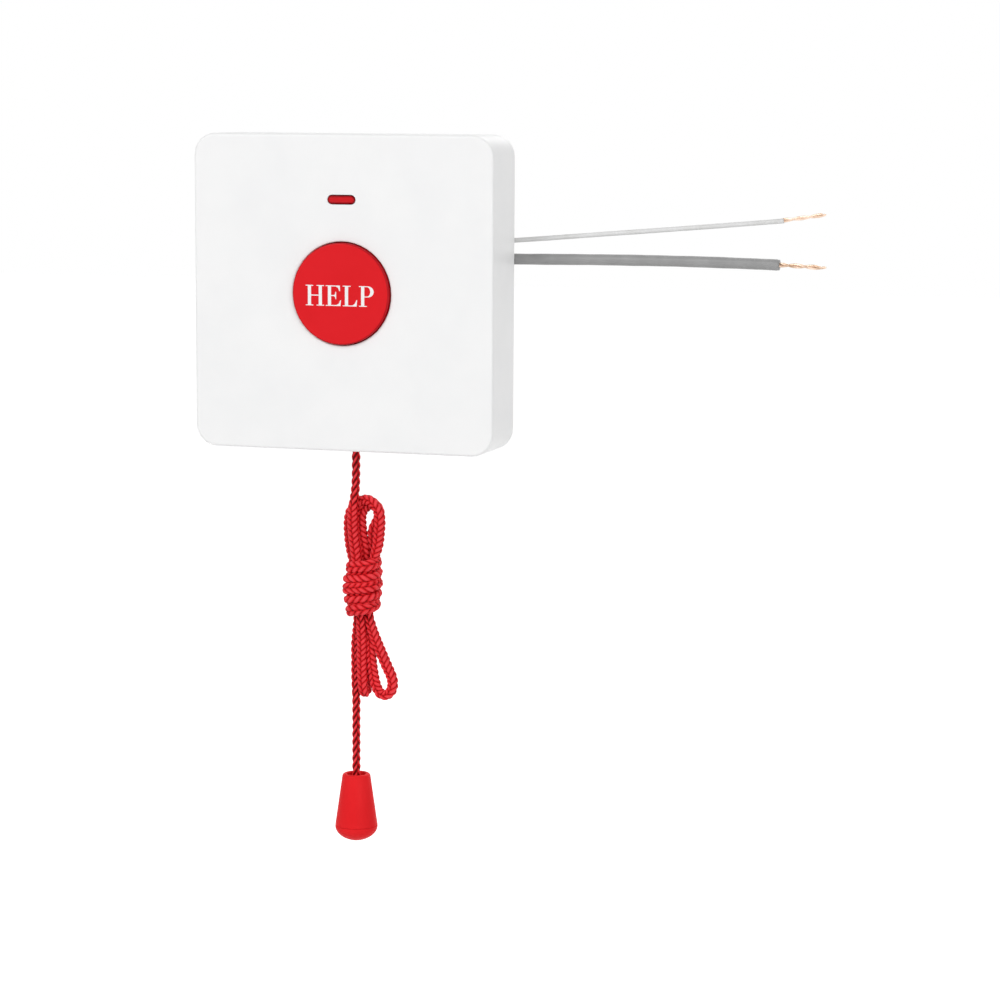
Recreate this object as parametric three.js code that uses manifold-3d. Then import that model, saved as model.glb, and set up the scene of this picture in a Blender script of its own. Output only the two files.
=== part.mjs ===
// Emergency call station for a wall: a push button, a status light and a pull cord with a knob.
// Millimetres. X runs to the right, Y into the wall (its face is the plane Y = 0) and Z up.
// The origin is the centre of the back, on the support pad that meets the wall.
import * as THREE from 'three';
import { mergeVertices } from 'three/addons/utils/BufferGeometryUtils.js';
import Module from 'manifold-3d';

// Clearances, how far joined solids reach into each other and how far a cut runs past a face
const SEAT_GAP = 0.3;
const SLIDE_GAP = 0.35;
const JOIN_OVERLAP = 0.1;
const CUT_PAST = 0.5;

// Housing: cover over a back plate that stands off the wall by its rim
const PANEL_SIZE = 86;
const PANEL_CORNER = 6;
const FRONT_EDGE_FILLET = 0.8;
const GUSSET_REACH = 7;
const GUSSET_DEPTH = 4;
const COVER_DEPTH = 19.2;
const SIDE_WALL = 2.2;
const FRONT_WALL = 2.4;
const REAR_CAVITY = 3.4;
const COVER_STEP = 0.2;
const FLOOR_THICKNESS = 2;
const SEAT_FLANGE_THICKNESS = 1.1;
const SEAT_FLANGE_INSET = 0.8;
const RIM_THICKNESS = 2;
const SKIRT_HEIGHT = 3.8;
const SKIRT_THICKNESS = 1.6;
const PAD_RADIUS = 8;
const RIB_THICKNESS = 1.4;
const RIB_SETBACK = 0.6;
const RIB_OFFSET = 24;

// Wall fixing: two slots at the spacing of a standard wall box
const FIXING_SPACING = 60.3;
const FIXING_SLOT_LENGTH = 9;
const FIXING_SLOT_WIDTH = 4.6;
const FIXING_BOSS_WALL = 2.2;

// Rear cable entry, the lead notches and the leads
const ENTRY_LEFT = 8;
const ENTRY_WIDTH = 16;
const ENTRY_BOTTOM = 5;
const ENTRY_HEIGHT = 20;
const ENTRY_CORNER = 2;
const LEAD_Y = -1.8;
const GREY_LEAD_RADIUS = 1.5;
const WHITE_LEAD_RADIUS = 0.66;
const COPPER_RADIUS = 0.6;
const NOTCH_CLEARANCE = 0.35;
const NOTCH_SAG = 0.2;

// Snap catches between the cover and the back plate
const CATCH_LENGTH = 8;
const CATCH_HEIGHT = 0.9;
const CATCH_WIDTH = 1.4;
const CATCH_SETBACK = 3.2;
const CATCH_SPACING = 44;
const PRY_NOTCH_WIDTH = 8;
const PRY_NOTCH_DEPTH = 1.4;
const PRY_NOTCH_X = 25;

// Call button
const BUTTON_RADIUS = 13.85;
const BUTTON_HOLE_GAP = 0.3;
const BUTTON_HOLE_CHAMFER = 0.3;
const BUTTON_PROUD = 1.2;
const BUTTON_WALL = 2;
const BUTTON_EDGE_FILLET = 0.5;
const BUTTON_FLANGE = 1.2;
const BUTTON_FLANGE_THICKNESS = 1.2;
const BUTTON_STEM_RADIUS = 2.8;
const BUTTON_TRAVEL = 1.2;
const COLLAR_WALL = 1.5;
const COLLAR_HEIGHT = 3.2;
const KEY_WIDTH = 3;
const KEY_REACH = 1.1;

// Status light
const LIGHT_Z = 25.4;
const LIGHT_LENGTH = 7.8;
const LIGHT_WIDTH = 2.25;
const LIGHT_GAP = 0.2;
const LIGHT_PROUD = 0.1;
const LIGHT_FLANGE = 1.1;
const LIGHT_FLANGE_THICKNESS = 1;
const LIGHT_COLLAR_WALL = 1.1;
const LIGHT_BAR_MARGIN = 1;
const LED_WIDTH = 3.5;
const LED_HEIGHT = 2.8;
const LED_DEPTH = 1.9;
const LED_CORNER = 0.3;
const LED_CUP_DEPTH = 0.8;
const LED_CUP_RADIUS = 1.15;
const LED_CUP_FLOOR_RADIUS = 0.8;

// Circuit board
const BOARD_WIDTH = 46;
const BOARD_FOOT = 5;
const BOARD_THICKNESS = 1.6;
const BOARD_CORNER = 1.5;
const BOARD_NOTCH_WIDTH = 15;
const POST_HEIGHT = 2.4;
const POST_RADIUS = 2.8;
const POST_INSET = 4;
const POST_TO_ENTRY = 1.2;
const SCREW_RADIUS = 1;
const SCREW_TIP_RADIUS = 0.4;
const SCREW_LENGTH = 5;
const SCREW_HEAD_RADIUS = 2.1;
const SCREW_HEAD_HEIGHT = 1.3;
const SCREW_HEAD_FILLET = 0.7;
const CROSS_ARM = 1.15;
const CROSS_HALF_WIDTH = 0.22;
const CROSS_DEPTH = 0.7;
const PILOT_RADIUS = 1.25;
const PILOT_FLOOR = 0.6;
const RESISTOR_X = -12;
const RESISTOR_WIDTH = 3.2;
const RESISTOR_HEIGHT = 1.6;
const RESISTOR_DEPTH = 0.7;
const DIODE_X = 12;
const DIODE_Z = 18;
const DIODE_WIDTH = 4.4;
const DIODE_HEIGHT = 2.6;
const DIODE_DEPTH = 2.2;

// Push switch behind the button
const PUSH_SWITCH_SIZE = 12;
const PUSH_SWITCH_DEPTH = 3.6;
const PUSH_SWITCH_CORNER = 0.8;
const PLUNGER_RADIUS = 3.3;
const PLUNGER_REACH = 3.2;
const PLUNGER_BURIED = 1.5;
const PLUNGER_FLOOR = 0.4;
const PLUNGER_FILLET = 0.4;
const DIMPLE_RADIUS = 0.7;
const DIMPLE_INSET = 1.6;
const DIMPLE_DEPTH = 0.4;
const WIRE_RADIUS = 0.35;
const BUTTON_SPRING_RADIUS = 4.7;
const BUTTON_SPRING_TURNS = 4.5;

// Pull mechanism: a slider in a channel of the back plate, drawn down by the cord
const CORD_RADIUS = 1.15;
const CORD_Y = -11.4;
const PULL_TRAVEL = 4;
const SLIDER_WIDTH = 8;
const SLIDER_DEPTH = 7;
const SLIDER_HEIGHT = 11.4;
const SLIDER_FILLET = 0.6;
const KNOT_POCKET_RADIUS = 2.7;
const KNOT_POCKET_DEPTH = 4.8;
const CORD_BORE_RADIUS = 1.5;
const CHANNEL_WALL = 1.7;
const CHANNEL_LIP = 1.1;
const CHANNEL_LIP_THICKNESS = 1.2;
const CORD_SLOT_GAP = 0.2;
const CHANNEL_FOOT = 6;
const SLIDER_RISE = 28.8;
const SPRING_SHELF = 1.6;
const RETURN_SPRING_RADIUS = 2.75;
const RETURN_SPRING_TURNS = 5.5;
const TAB_REACH = 5.4;
const TAB_DEPTH = 2.4;
const TAB_HEIGHT = 2.4;
const TAB_DROP = 4.6;
const RELIEF_WALL = 1.4;
const RELIEF_DEPTH = 1.2;

// Pull switch with a pressed lever
const PULL_SWITCH_WIDTH = 12.8;
const PULL_SWITCH_HEIGHT = 6.5;
const PULL_SWITCH_DEPTH = 5.8;
const PULL_SWITCH_LEFT = 8.2;
const PULL_SWITCH_CORNER = 0.4;
const MOUNT_HOLE_RADIUS = 1;
const MOUNT_HOLE_RISE = 1.8;
const MOUNT_HOLE_OFFSET = 3.25;
const WELL_GAP = 0.25;
const WELL_DEPTH = 2.6;
const EAR_MARGIN = 0.9;
const LEVER_LENGTH = 12.5;
const LEVER_WIDTH = 3.6;
const LEVER_THICKNESS = 0.4;
const LEVER_PIVOT_INSET = 1;
const LEVER_PIVOT_RISE = 0.9;
const HUB_RADIUS = 0.7;
const HUB_BORE_RADIUS = 0.45;
const PIN_RADIUS = 0.35;
const PIN_HOLE_GAP = 0.1;
const EAR_THICKNESS = 0.7;
const PIN_BUTTON_ARM = 4.6;
const PIN_BUTTON_RADIUS = 0.9;
const PIN_BUTTON_TRAVEL = 1.45;
const PIN_BUTTON_FILLET = 0.3;

// Cord bush, knob and knots
const BUSH_RADIUS = 3;
const BUSH_FLANGE = 1.3;
const BUSH_FLANGE_THICKNESS = 1.2;
const BUSH_MOUTH_FILLET = 0.6;
const KNOT_RADIUS = 2.35;
const KNOT_HEIGHT = 4;
const KNOB_TOP = -135.2;
const KNOB_HEIGHT = 14.5;
const KNOB_TOP_RADIUS = 3.85;
const KNOB_BASE_RADIUS = 5.95;
const KNOB_WALL = 1.3;
const KNOB_RIM_FILLET = 0.55;
const KNOB_RECESS_DEPTH = 1.9;
const KNOB_RECESS_RADIUS = 2.9;
const KNOB_RECESS_FILLET = 0.3;
const KNOB_WEB = 1.8;
const CAP_DOME = 4.4;
const CAP_SPIGOT = 2.2;

// Depths worked out from the sizes above; the front is towards -Y
const FLOOR_REAR = -REAR_CAVITY;
const FLOOR_FRONT = FLOOR_REAR - FLOOR_THICKNESS;
const COVER_REAR = FLOOR_REAR - COVER_STEP;
const COVER_FRONT = COVER_REAR - COVER_DEPTH;
const PLATE_BACK = COVER_FRONT + FRONT_WALL;
const COVER_HALF = PANEL_SIZE / 2;
const COVER_INSIDE_HALF = COVER_HALF - SIDE_WALL;
const BASE_HALF = COVER_INSIDE_HALF - SEAT_GAP;
const BASE_CORNER = PANEL_CORNER - SIDE_WALL - SEAT_GAP;
const CATCH_Y = COVER_REAR - CATCH_SETBACK;
const BOARD_TOP = ENTRY_BOTTOM + ENTRY_HEIGHT + POST_TO_ENTRY + POST_RADIUS + POST_INSET;
const BOARD_BOTTOM = BOARD_FOOT - COVER_HALF;
const BOARD_REAR = FLOOR_FRONT - POST_HEIGHT - SEAT_GAP;
const BOARD_FRONT = BOARD_REAR - BOARD_THICKNESS;
const PUSH_SWITCH_REAR = BOARD_FRONT - SEAT_GAP;
const PUSH_SWITCH_FRONT = PUSH_SWITCH_REAR - PUSH_SWITCH_DEPTH;
const PLUNGER_FRONT = PUSH_SWITCH_FRONT - PLUNGER_REACH;
const BUTTON_FRONT = COVER_FRONT - BUTTON_PROUD;
const BUTTON_INSIDE = BUTTON_FRONT + BUTTON_WALL;
const FLANGE_FRONT = PLATE_BACK + SEAT_GAP;
const FLANGE_RADIUS = BUTTON_RADIUS + BUTTON_FLANGE;

// Heights of the pull mechanism
const SLIDER_TOP = SLIDER_RISE - COVER_HALF;
const CHANNEL_BOTTOM = CHANNEL_FOOT - COVER_HALF;
const SLIDER_BOTTOM = SLIDER_TOP - SLIDER_HEIGHT;
const BOARD_NOTCH_TOP = SLIDER_TOP + SEAT_GAP;
const CHANNEL_TOP = BOARD_NOTCH_TOP - SEAT_GAP;
const SHELF_TOP = CHANNEL_BOTTOM + SPRING_SHELF;
const POCKET_FLOOR = SLIDER_TOP - KNOT_POCKET_DEPTH;
const TOP_KNOT_Z = POCKET_FLOOR + SEAT_GAP + KNOT_HEIGHT / 2;
const SLIDER_FRONT = CORD_Y - SLIDER_DEPTH / 2;
const PULL_SWITCH_REAR = BOARD_FRONT - SEAT_GAP;
const PULL_SWITCH_Y = PULL_SWITCH_REAR - PULL_SWITCH_DEPTH / 2;
const LEVER_REST_ANGLE = Math.asin(PULL_TRAVEL / LEVER_LENGTH);
const TAB_BOTTOM = SLIDER_TOP - TAB_DROP;
const LEVER_PIVOT_X = PULL_SWITCH_LEFT + PULL_SWITCH_WIDTH - LEVER_PIVOT_INSET;
const LEVER_PIVOT_Z = TAB_BOTTOM - SEAT_GAP - LEVER_THICKNESS / 2 - PULL_TRAVEL;
const PULL_SWITCH_TOP = LEVER_PIVOT_Z - LEVER_PIVOT_RISE;
const KNOB_BASE = KNOB_TOP - KNOB_HEIGHT;
const KNOB_SLOPE = (KNOB_BASE_RADIUS - KNOB_TOP_RADIUS) / KNOB_HEIGHT;
const WEB_TOP = KNOB_TOP - KNOB_RECESS_DEPTH;
const WEB_BOTTOM = WEB_TOP - KNOB_WEB;
const END_KNOT_Z = WEB_BOTTOM - SEAT_GAP - KNOT_HEIGHT / 2;

// Hank of cord from the top down, each level [z, left side, right side, thickness]
const HANK_LEVELS = [
  [-56.4, 0.6, 4.4, 2.2], [-58.4, -2.2, 6.8, 4.6], [-61.5, -3.5, 8.1, 5.8], [-65.5, -3.9, 8.7, 6.4],
  [-72.8, -2.6, 6.9, 7.4], [-75.2, -3.2, 7.2, 9.6], [-82, -4.1, 7.6, 10.2], [-88.2, -3.1, 6.9, 9.6],
  [-91, -1.9, 6.6, 6.8], [-100, -1.5, 10, 5.6], [-108.6, -1.4, 12.3, 4.8], [-112.3, -0.9, 11.4, 3.8],
  [-113.8, 5.5, 9.6, 2],
];
const HANK_STEPS_A_LEVEL = 2;
const HANK_SIDES = 16;
const HANK_FOOT_DROP = 0.5;

// Leads, each [x, y, z]: from the board, through the cable entry and out at the right
const GREY_LEAD = [
  [12, -7.8, 9.3], [12.3, -5.4, 9.3], [13.9, -3.1, 9.3], [17, LEAD_Y, 9.3], [30, LEAD_Y, 9.25],
  [44, LEAD_Y, 9.3], [66, LEAD_Y, 9.6], [94, LEAD_Y, 9.65], [116.2, LEAD_Y, 9.3],
];
const GREY_COPPER = [[116.5, LEAD_Y, 9.3], [121, LEAD_Y, 9.15], [125, LEAD_Y, 8.95], [128.7, LEAD_Y, 8.7]];
const WHITE_LEAD = [
  [12, -7.8, 13.4], [12.3, -5.2, 13.4], [13.9, -2.9, 13.4], [17, LEAD_Y, 13.45], [30, LEAD_Y, 13.7],
  [44, LEAD_Y, 14.5], [66, LEAD_Y, 16.4], [94, LEAD_Y, 18.85], [117.2, LEAD_Y, 21],
];
const WHITE_COPPER = [[117.5, LEAD_Y, 21.2], [121, LEAD_Y, 21.7], [125, LEAD_Y, 22.3], [128.4, LEAD_Y, 22.9]];

// Facets: curve steps of outlines (each makes two facets of an arc or a circle) and steps of a turned form
const ARC_STEPS = 3;
const SMALL_CIRCLE_STEPS = 8;
const CIRCLE_STEPS = 12;
const BIG_CIRCLE_STEPS = 24;
const TURN_STEPS = 48;
const SMALL_TURN_STEPS = 24;
const TINY_TURN_STEPS = 16;
const KNOB_TURN_STEPS = 32;
const SCREW_TURN_STEPS = 12;
const LEAD_STEPS = 33;
const COPPER_STEPS = 5;

const wasm = await Module();
wasm.setup();

/** A geometry with shared vertices merged, collapsed triangles dropped and its faces outwards. */
function closed(geometry) {
  const bare = geometry.index ? geometry.toNonIndexed() : geometry.clone();
  bare.deleteAttribute('normal');
  bare.deleteAttribute('uv');
  const merged = mergeVertices(bare, 1e-4);
  const at = merged.attributes.position;
  const corners = merged.index.array;
  const kept = [];
  const a = new THREE.Vector3();
  const b = new THREE.Vector3();
  const c = new THREE.Vector3();
  let volume = 0;
  for (let n = 0; n < corners.length; n += 3) {
    const [i, j, k] = corners.slice(n, n + 3);
    if (i === j || j === k || k === i) continue;
    kept.push(i, j, k);
    a.fromBufferAttribute(at, i);
    b.fromBufferAttribute(at, j);
    c.fromBufferAttribute(at, k);
    volume += a.dot(b.cross(c));
  }
  if (volume < 0) kept.reverse();
  const result = new THREE.BufferGeometry();
  result.setAttribute('position', at);
  result.setIndex(kept);
  return result;
}

/** The manifold solid of a closed geometry. */
function solid(geometry) {
  const shell = closed(geometry);
  const vertProperties = new Float32Array(shell.attributes.position.array);
  const triVerts = new Uint32Array(shell.index.array);
  return new wasm.Manifold(new wasm.Mesh({ numProp: 3, vertProperties, triVerts }));
}

/** The geometry of a manifold solid. */
function geometryOf(body) {
  const mesh = body.getMesh();
  const geometry = new THREE.BufferGeometry();
  geometry.setAttribute('position', new THREE.BufferAttribute(mesh.vertProperties, 3));
  geometry.setIndex(new THREE.BufferAttribute(mesh.triVerts, 1));
  return geometry;
}

/** One solid joined from several geometries. */
function joined(...geometries) {
  return geometries.map(solid).reduce((whole, next) => whole.add(next));
}

/** A solid with several geometries cut away. */
function cutFrom(body, ...tools) {
  return tools.map(solid).reduce((whole, tool) => whole.subtract(tool), body);
}

/** A rectangle with round corners, about a centre. */
function roundedRectangle(halfWidth, halfHeight, radius, x = 0, y = 0) {
  const shape = new THREE.Shape();
  const right = x + halfWidth - radius;
  const left = x - halfWidth + radius;
  const top = y + halfHeight - radius;
  const bottom = y - halfHeight + radius;
  shape.absarc(right, bottom, radius, -Math.PI / 2, 0);
  shape.absarc(right, top, radius, 0, Math.PI / 2);
  shape.absarc(left, top, radius, Math.PI / 2, Math.PI);
  shape.absarc(left, bottom, radius, Math.PI, 1.5 * Math.PI);
  return shape;
}

/** A slot outline with round ends, along X or along Y. */
function stadium(length, width, x = 0, y = 0, upright = false) {
  const shape = new THREE.Shape();
  const reach = (length - width) / 2;
  const turn = upright ? Math.PI / 2 : 0;
  const dx = Math.cos(turn) * reach;
  const dy = Math.sin(turn) * reach;
  shape.absarc(x + dx, y + dy, width / 2, turn - Math.PI / 2, turn + Math.PI / 2);
  shape.absarc(x - dx, y - dy, width / 2, turn + Math.PI / 2, turn + 1.5 * Math.PI);
  return shape;
}

/** A round outline. */
function disc(radius, x = 0, y = 0) {
  return new THREE.Shape().absarc(x, y, radius, 0, 2 * Math.PI);
}

/** A box between two corners. */
function box(low, high) {
  const size = high.map((value, axis) => value - low[axis]);
  const middle = high.map((value, axis) => (value + low[axis]) / 2);
  return new THREE.BoxGeometry(...size).translate(...middle);
}

/** An outline in X and Z extruded along Y, from its rear face to its front face. */
function alongY(shape, rear, front, curveSegments = ARC_STEPS) {
  const settings = { depth: rear - front, bevelEnabled: false, curveSegments };
  const geometry = new THREE.ExtrudeGeometry(shape, settings);
  return geometry.rotateX(Math.PI / 2).translate(0, rear, 0);
}

/** An outline in X and Y extruded along Z, from its bottom to its top. */
function alongZ(shape, bottom, top, curveSegments = ARC_STEPS) {
  const settings = { depth: top - bottom, bevelEnabled: false, curveSegments };
  const geometry = new THREE.ExtrudeGeometry(shape, settings);
  return geometry.translate(0, 0, bottom);
}

/** A profile of [radius, y] turned about an axis along Y. */
function turnedAboutY(profile, steps = TURN_STEPS) {
  return new THREE.LatheGeometry(profile.map(([r, y]) => new THREE.Vector2(r, y)), steps);
}

/** A profile of [radius, z] turned about an axis along Z. */
function turnedAboutZ(profile, steps = TURN_STEPS) {
  return turnedAboutY(profile, steps).rotateX(Math.PI / 2);
}

/** Points [x, y] of an arc about a centre, between two angles in quarter turns. */
function arcPoints(x, y, radius, from, to, steps = 4) {
  const points = [];
  for (let n = 0; n <= steps; n += 1) {
    const angle = ((from + ((to - from) * n) / steps) * Math.PI) / 2;
    points.push([x + radius * Math.cos(angle), y + radius * Math.sin(angle)]);
  }
  return points;
}

/** A tube of round section along hand-set points. */
function tube(points, radius, steps, sides = 8) {
  const path = new THREE.CatmullRomCurve3(points.map((p) => new THREE.Vector3(...p)), false, 'centripetal');
  const section = new THREE.Shape(roundSection(radius, sides));
  return new THREE.ExtrudeGeometry(section, { steps, extrudePath: path, bevelEnabled: false });
}

/** The corners of a regular section. */
function roundSection(radius, sides) {
  const corners = [];
  for (let n = 0; n < sides; n += 1) {
    const angle = (2 * Math.PI * n) / sides;
    corners.push(new THREE.Vector2(radius * Math.cos(angle), radius * Math.sin(angle)));
  }
  return corners;
}

/** A compression spring's centreline along Z, with its first and last turn closed. */
class SpringLine extends THREE.Curve {
  constructor(radius, turns, bottom, top) {
    super();
    this.radius = radius;
    this.turns = turns;
    this.bottom = bottom;
    this.top = top;
  }

  getPoint(t, target = new THREE.Vector3()) {
    const angle = 2 * Math.PI * this.turns * t;
    const closedEnd = 0.75 / this.turns;
    const rise = THREE.MathUtils.clamp((t - closedEnd) / (1 - 2 * closedEnd), 0, 1);
    const lift = THREE.MathUtils.lerp(this.bottom + 2 * WIRE_RADIUS * Math.min(t / closedEnd, 1) * 0.98,
      this.top - 2 * WIRE_RADIUS * Math.min((1 - t) / closedEnd, 1) * 0.98, rise);
    return target.set(this.radius * Math.cos(angle), this.radius * Math.sin(angle), lift);
  }
}

/** A coil spring that stands between two levels. */
function spring(radius, turns, bottom, top) {
  const line = new SpringLine(radius, turns, bottom + WIRE_RADIUS, top - WIRE_RADIUS);
  const steps = Math.round(turns * 12);
  const section = new THREE.Shape(roundSection(WIRE_RADIUS, 6));
  return new THREE.ExtrudeGeometry(section, { steps, extrudePath: line, bevelEnabled: false });
}

/** A stack of square outlines with round corners, each {half, corner, y}, closed at both ends. */
function squareLoft(rings) {
  const outlines = rings.map(({ half, corner, y }) => roundedRectangle(half, half, corner)
    .getPoints(ARC_STEPS)
    .map((p) => [p.x, y, p.y]));
  const count = outlines[0].length;
  const position = outlines.flat(2);
  const last = outlines.length - 1;
  const index = [];
  for (let level = 0; level < last; level += 1) {
    for (let n = 0; n < count; n += 1) {
      const next = (n + 1) % count;
      const low = level * count;
      const high = low + count;
      index.push(low + n, low + next, high + next, low + n, high + next, high + n);
    }
  }
  for (let n = 1; n < count - 1; n += 1) {
    index.push(0, n + 1, n);
    index.push(last * count, last * count + n, last * count + n + 1);
  }
  const geometry = new THREE.BufferGeometry();
  geometry.setAttribute('position', new THREE.Float32BufferAttribute(position, 3));
  geometry.setIndex(index);
  return geometry;
}

/** A square tray wall: an outer outline less an inner one, between two depths. */
function squareRing(outerHalf, outerCorner, wall, rear, front) {
  const shape = roundedRectangle(outerHalf, outerHalf, outerCorner);
  const innerCorner = Math.max(outerCorner - wall, 0.5);
  shape.holes.push(roundedRectangle(outerHalf - wall, outerHalf - wall, innerCorner));
  return alongY(shape, rear, front);
}

/** The finish of one material. */
function finish(color, roughness, metalness = 0) {
  return new THREE.MeshStandardMaterial({ color, roughness, metalness });
}

const whitePlastic = finish(0xf2f2f2, 0.38);
const innerPlastic = finish(0xe4e4e0, 0.5);
const redPlastic = finish(0xdc2027, 0.33);
const redKnob = finish(0xe02a2e, 0.4);
const redLens = finish(0xc4121c, 0.12);
const redBraid = finish(0xc81420, 0.8);
const blackPlastic = finish(0x1c1c1e, 0.45);
const boardGreen = finish(0x1f6b3a, 0.5);
const ledWhite = finish(0xf0ead2, 0.35);
const steel = finish(0xb8babd, 0.3, 1);
const springSteel = finish(0x9da0a4, 0.28, 1);
const copper = finish(0xd09a6a, 0.35, 1);
const greyJacket = finish(0x929292, 0.55);
const whiteJacket = finish(0xd8d8d8, 0.5);
const nylon = finish(0xdcd9cf, 0.45);

/** Places along the four walls where the cover snaps on to the back plate: [x, z, wall direction]. */
function catchPlaces() {
  const half = CATCH_SPACING / 2;
  const places = [];
  for (const side of [-1, 1]) {
    for (const offset of [-half, half]) {
      places.push({ x: offset, z: side, alongX: true });
      places.push({ x: side, z: offset, alongX: false });
    }
  }
  return places;
}

/** A three-sided catch bead on the inside of a cover wall. */
function catchBead({ x, z, alongX }) {
  const inside = COVER_INSIDE_HALF + 0.05;
  const tip = COVER_INSIDE_HALF - CATCH_HEIGHT;
  const profile = new THREE.Shape([
    new THREE.Vector2(inside, CATCH_Y - CATCH_WIDTH / 2),
    new THREE.Vector2(inside, CATCH_Y + CATCH_WIDTH / 2),
    new THREE.Vector2(tip, CATCH_Y + CATCH_WIDTH * 0.2),
    new THREE.Vector2(tip, CATCH_Y - CATCH_WIDTH * 0.2),
  ]);
  const bead = new THREE.ExtrudeGeometry(profile, { depth: CATCH_LENGTH, bevelEnabled: false });
  bead.translate(0, 0, -CATCH_LENGTH / 2);
  if (alongX) {
    bead.rotateY(-z * (Math.PI / 2)).translate(x, 0, 0);
  } else {
    bead.rotateY(x > 0 ? 0 : Math.PI).translate(0, 0, z);
  }
  return bead;
}

/** The window in the back plate's skirt that a catch bead snaps into. */
function catchWindow({ x, z, alongX }) {
  const halfLength = CATCH_LENGTH / 2 + 0.6;
  const halfWidth = CATCH_WIDTH / 2 + 0.4;
  const near = BASE_HALF - SKIRT_THICKNESS - 0.5;
  const far = BASE_HALF + 0.5;
  if (alongX) {
    const [low, high] = z > 0 ? [near, far] : [-far, -near];
    return box([x - halfLength, CATCH_Y - halfWidth, low], [x + halfLength, CATCH_Y + halfWidth, high]);
  }
  const [low, high] = x > 0 ? [near, far] : [-far, -near];
  return box([low, CATCH_Y - halfWidth, z - halfLength], [high, CATCH_Y + halfWidth, z + halfLength]);
}

/** The cover: a moulded square shell with its button collar, light collar and catches inside. */
function frontCover() {
  const fillet = arcPoints(0, 0, FRONT_EDGE_FILLET, 0, 1, 4).map(([across, up]) => {
    const inset = FRONT_EDGE_FILLET - across;
    const y = COVER_FRONT + FRONT_EDGE_FILLET - up;
    return { half: COVER_HALF - inset, corner: PANEL_CORNER - inset, y };
  });
  const outside = squareLoft([{ half: COVER_HALF, corner: PANEL_CORNER, y: COVER_REAR }, ...fillet]);
  const insideCorner = PANEL_CORNER - SIDE_WALL;
  const inside = squareLoft([
    { half: COVER_INSIDE_HALF, corner: insideCorner, y: COVER_REAR + CUT_PAST },
    { half: COVER_INSIDE_HALF, corner: insideCorner, y: PLATE_BACK },
  ]);
  const collarInner = FLANGE_RADIUS + SLIDE_GAP;
  const buttonCollar = disc(collarInner + COLLAR_WALL);
  buttonCollar.holes.push(disc(collarInner));
  const lightInnerLength = LIGHT_LENGTH + 2 * (LIGHT_FLANGE + LIGHT_GAP);
  const lightInnerWidth = LIGHT_WIDTH + 2 * (LIGHT_FLANGE + LIGHT_GAP);
  const lightOuterLength = lightInnerLength + 2 * LIGHT_COLLAR_WALL;
  const lightOuterWidth = lightInnerWidth + 2 * LIGHT_COLLAR_WALL;
  const lightCollar = stadium(lightOuterLength, lightOuterWidth, 0, LIGHT_Z);
  lightCollar.holes.push(stadium(lightInnerLength, lightInnerWidth, 0, LIGHT_Z));
  const shell = cutFrom(solid(outside), inside);
  const fittings = [
    alongY(buttonCollar, PLATE_BACK + COLLAR_HEIGHT, PLATE_BACK - JOIN_OVERLAP, BIG_CIRCLE_STEPS),
    alongY(lightCollar, PLATE_BACK + COLLAR_HEIGHT, PLATE_BACK - JOIN_OVERLAP),
    ...catchPlaces().map(catchBead),
    ...cornerGussets(),
  ];
  const whole = fittings.map(solid).reduce((body, next) => body.add(next), shell);
  return geometryOf(cutFrom(whole, ...coverCuts(collarInner)));
}

/** Thin webs that stiffen the corners between the front plate and the side walls. */
function cornerGussets() {
  const inner = COVER_INSIDE_HALF - GUSSET_REACH;
  const gussets = [];
  for (const sx of [-1, 1]) {
    for (const sz of [-1, 1]) {
      const left = sx * inner - RIB_THICKNESS / 2;
      const far = sz * (COVER_INSIDE_HALF + JOIN_OVERLAP);
      const low = Math.min(sz * inner, far);
      const high = Math.max(sz * inner, far);
      gussets.push(box(
        [left, PLATE_BACK - JOIN_OVERLAP, low],
        [left + RIB_THICKNESS, PLATE_BACK + GUSSET_DEPTH, high],
      ));
    }
  }
  return gussets;
}

/** Everything that is cut through the cover: the button, light, key, bush and pry openings. */
function coverCuts(collarInner) {
  const holeRadius = BUTTON_RADIUS + BUTTON_HOLE_GAP;
  const keyHalf = KEY_WIDTH / 2 + SLIDE_GAP;
  const keyReach = FLANGE_RADIUS + KEY_REACH + SLIDE_GAP;
  const collarEnd = PLATE_BACK + COLLAR_HEIGHT + CUT_PAST;
  const keySlot = box([-keyReach, PLATE_BACK, -keyHalf], [keyReach, collarEnd, keyHalf]);
  const edge = COVER_FRONT - JOIN_OVERLAP;
  const past = PLATE_BACK + CUT_PAST;
  const buttonHole = turnedAboutY([
    [0, edge], [holeRadius + BUTTON_HOLE_CHAMFER + JOIN_OVERLAP, edge],
    [holeRadius, COVER_FRONT + BUTTON_HOLE_CHAMFER], [holeRadius, past], [0, past],
  ]);
  const lightSlot = stadium(LIGHT_LENGTH + 2 * LIGHT_GAP, LIGHT_WIDTH + 2 * LIGHT_GAP, 0, LIGHT_Z);
  const below = -COVER_HALF - CUT_PAST;
  const above = -COVER_INSIDE_HALF + CUT_PAST;
  const bushHole = alongZ(disc(BUSH_RADIUS + SEAT_GAP, 0, CORD_Y), below, above, CIRCLE_STEPS);
  const pryLeft = PRY_NOTCH_X - PRY_NOTCH_WIDTH / 2;
  const pryNotch = box(
    [pryLeft, COVER_REAR - PRY_NOTCH_DEPTH, below],
    [pryLeft + PRY_NOTCH_WIDTH, COVER_REAR + CUT_PAST, above],
  );
  return [buttonHole, keySlot, alongY(lightSlot, past, edge), bushHole, pryNotch];
}

/** The places of the four board screws, as [x, z]. */
function screwPlaces() {
  const x = BOARD_WIDTH / 2 - POST_INSET;
  const top = BOARD_TOP - POST_INSET;
  const bottom = BOARD_BOTTOM + POST_INSET;
  return [[-x, top], [x, top], [-x, bottom], [x, bottom]];
}

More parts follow.
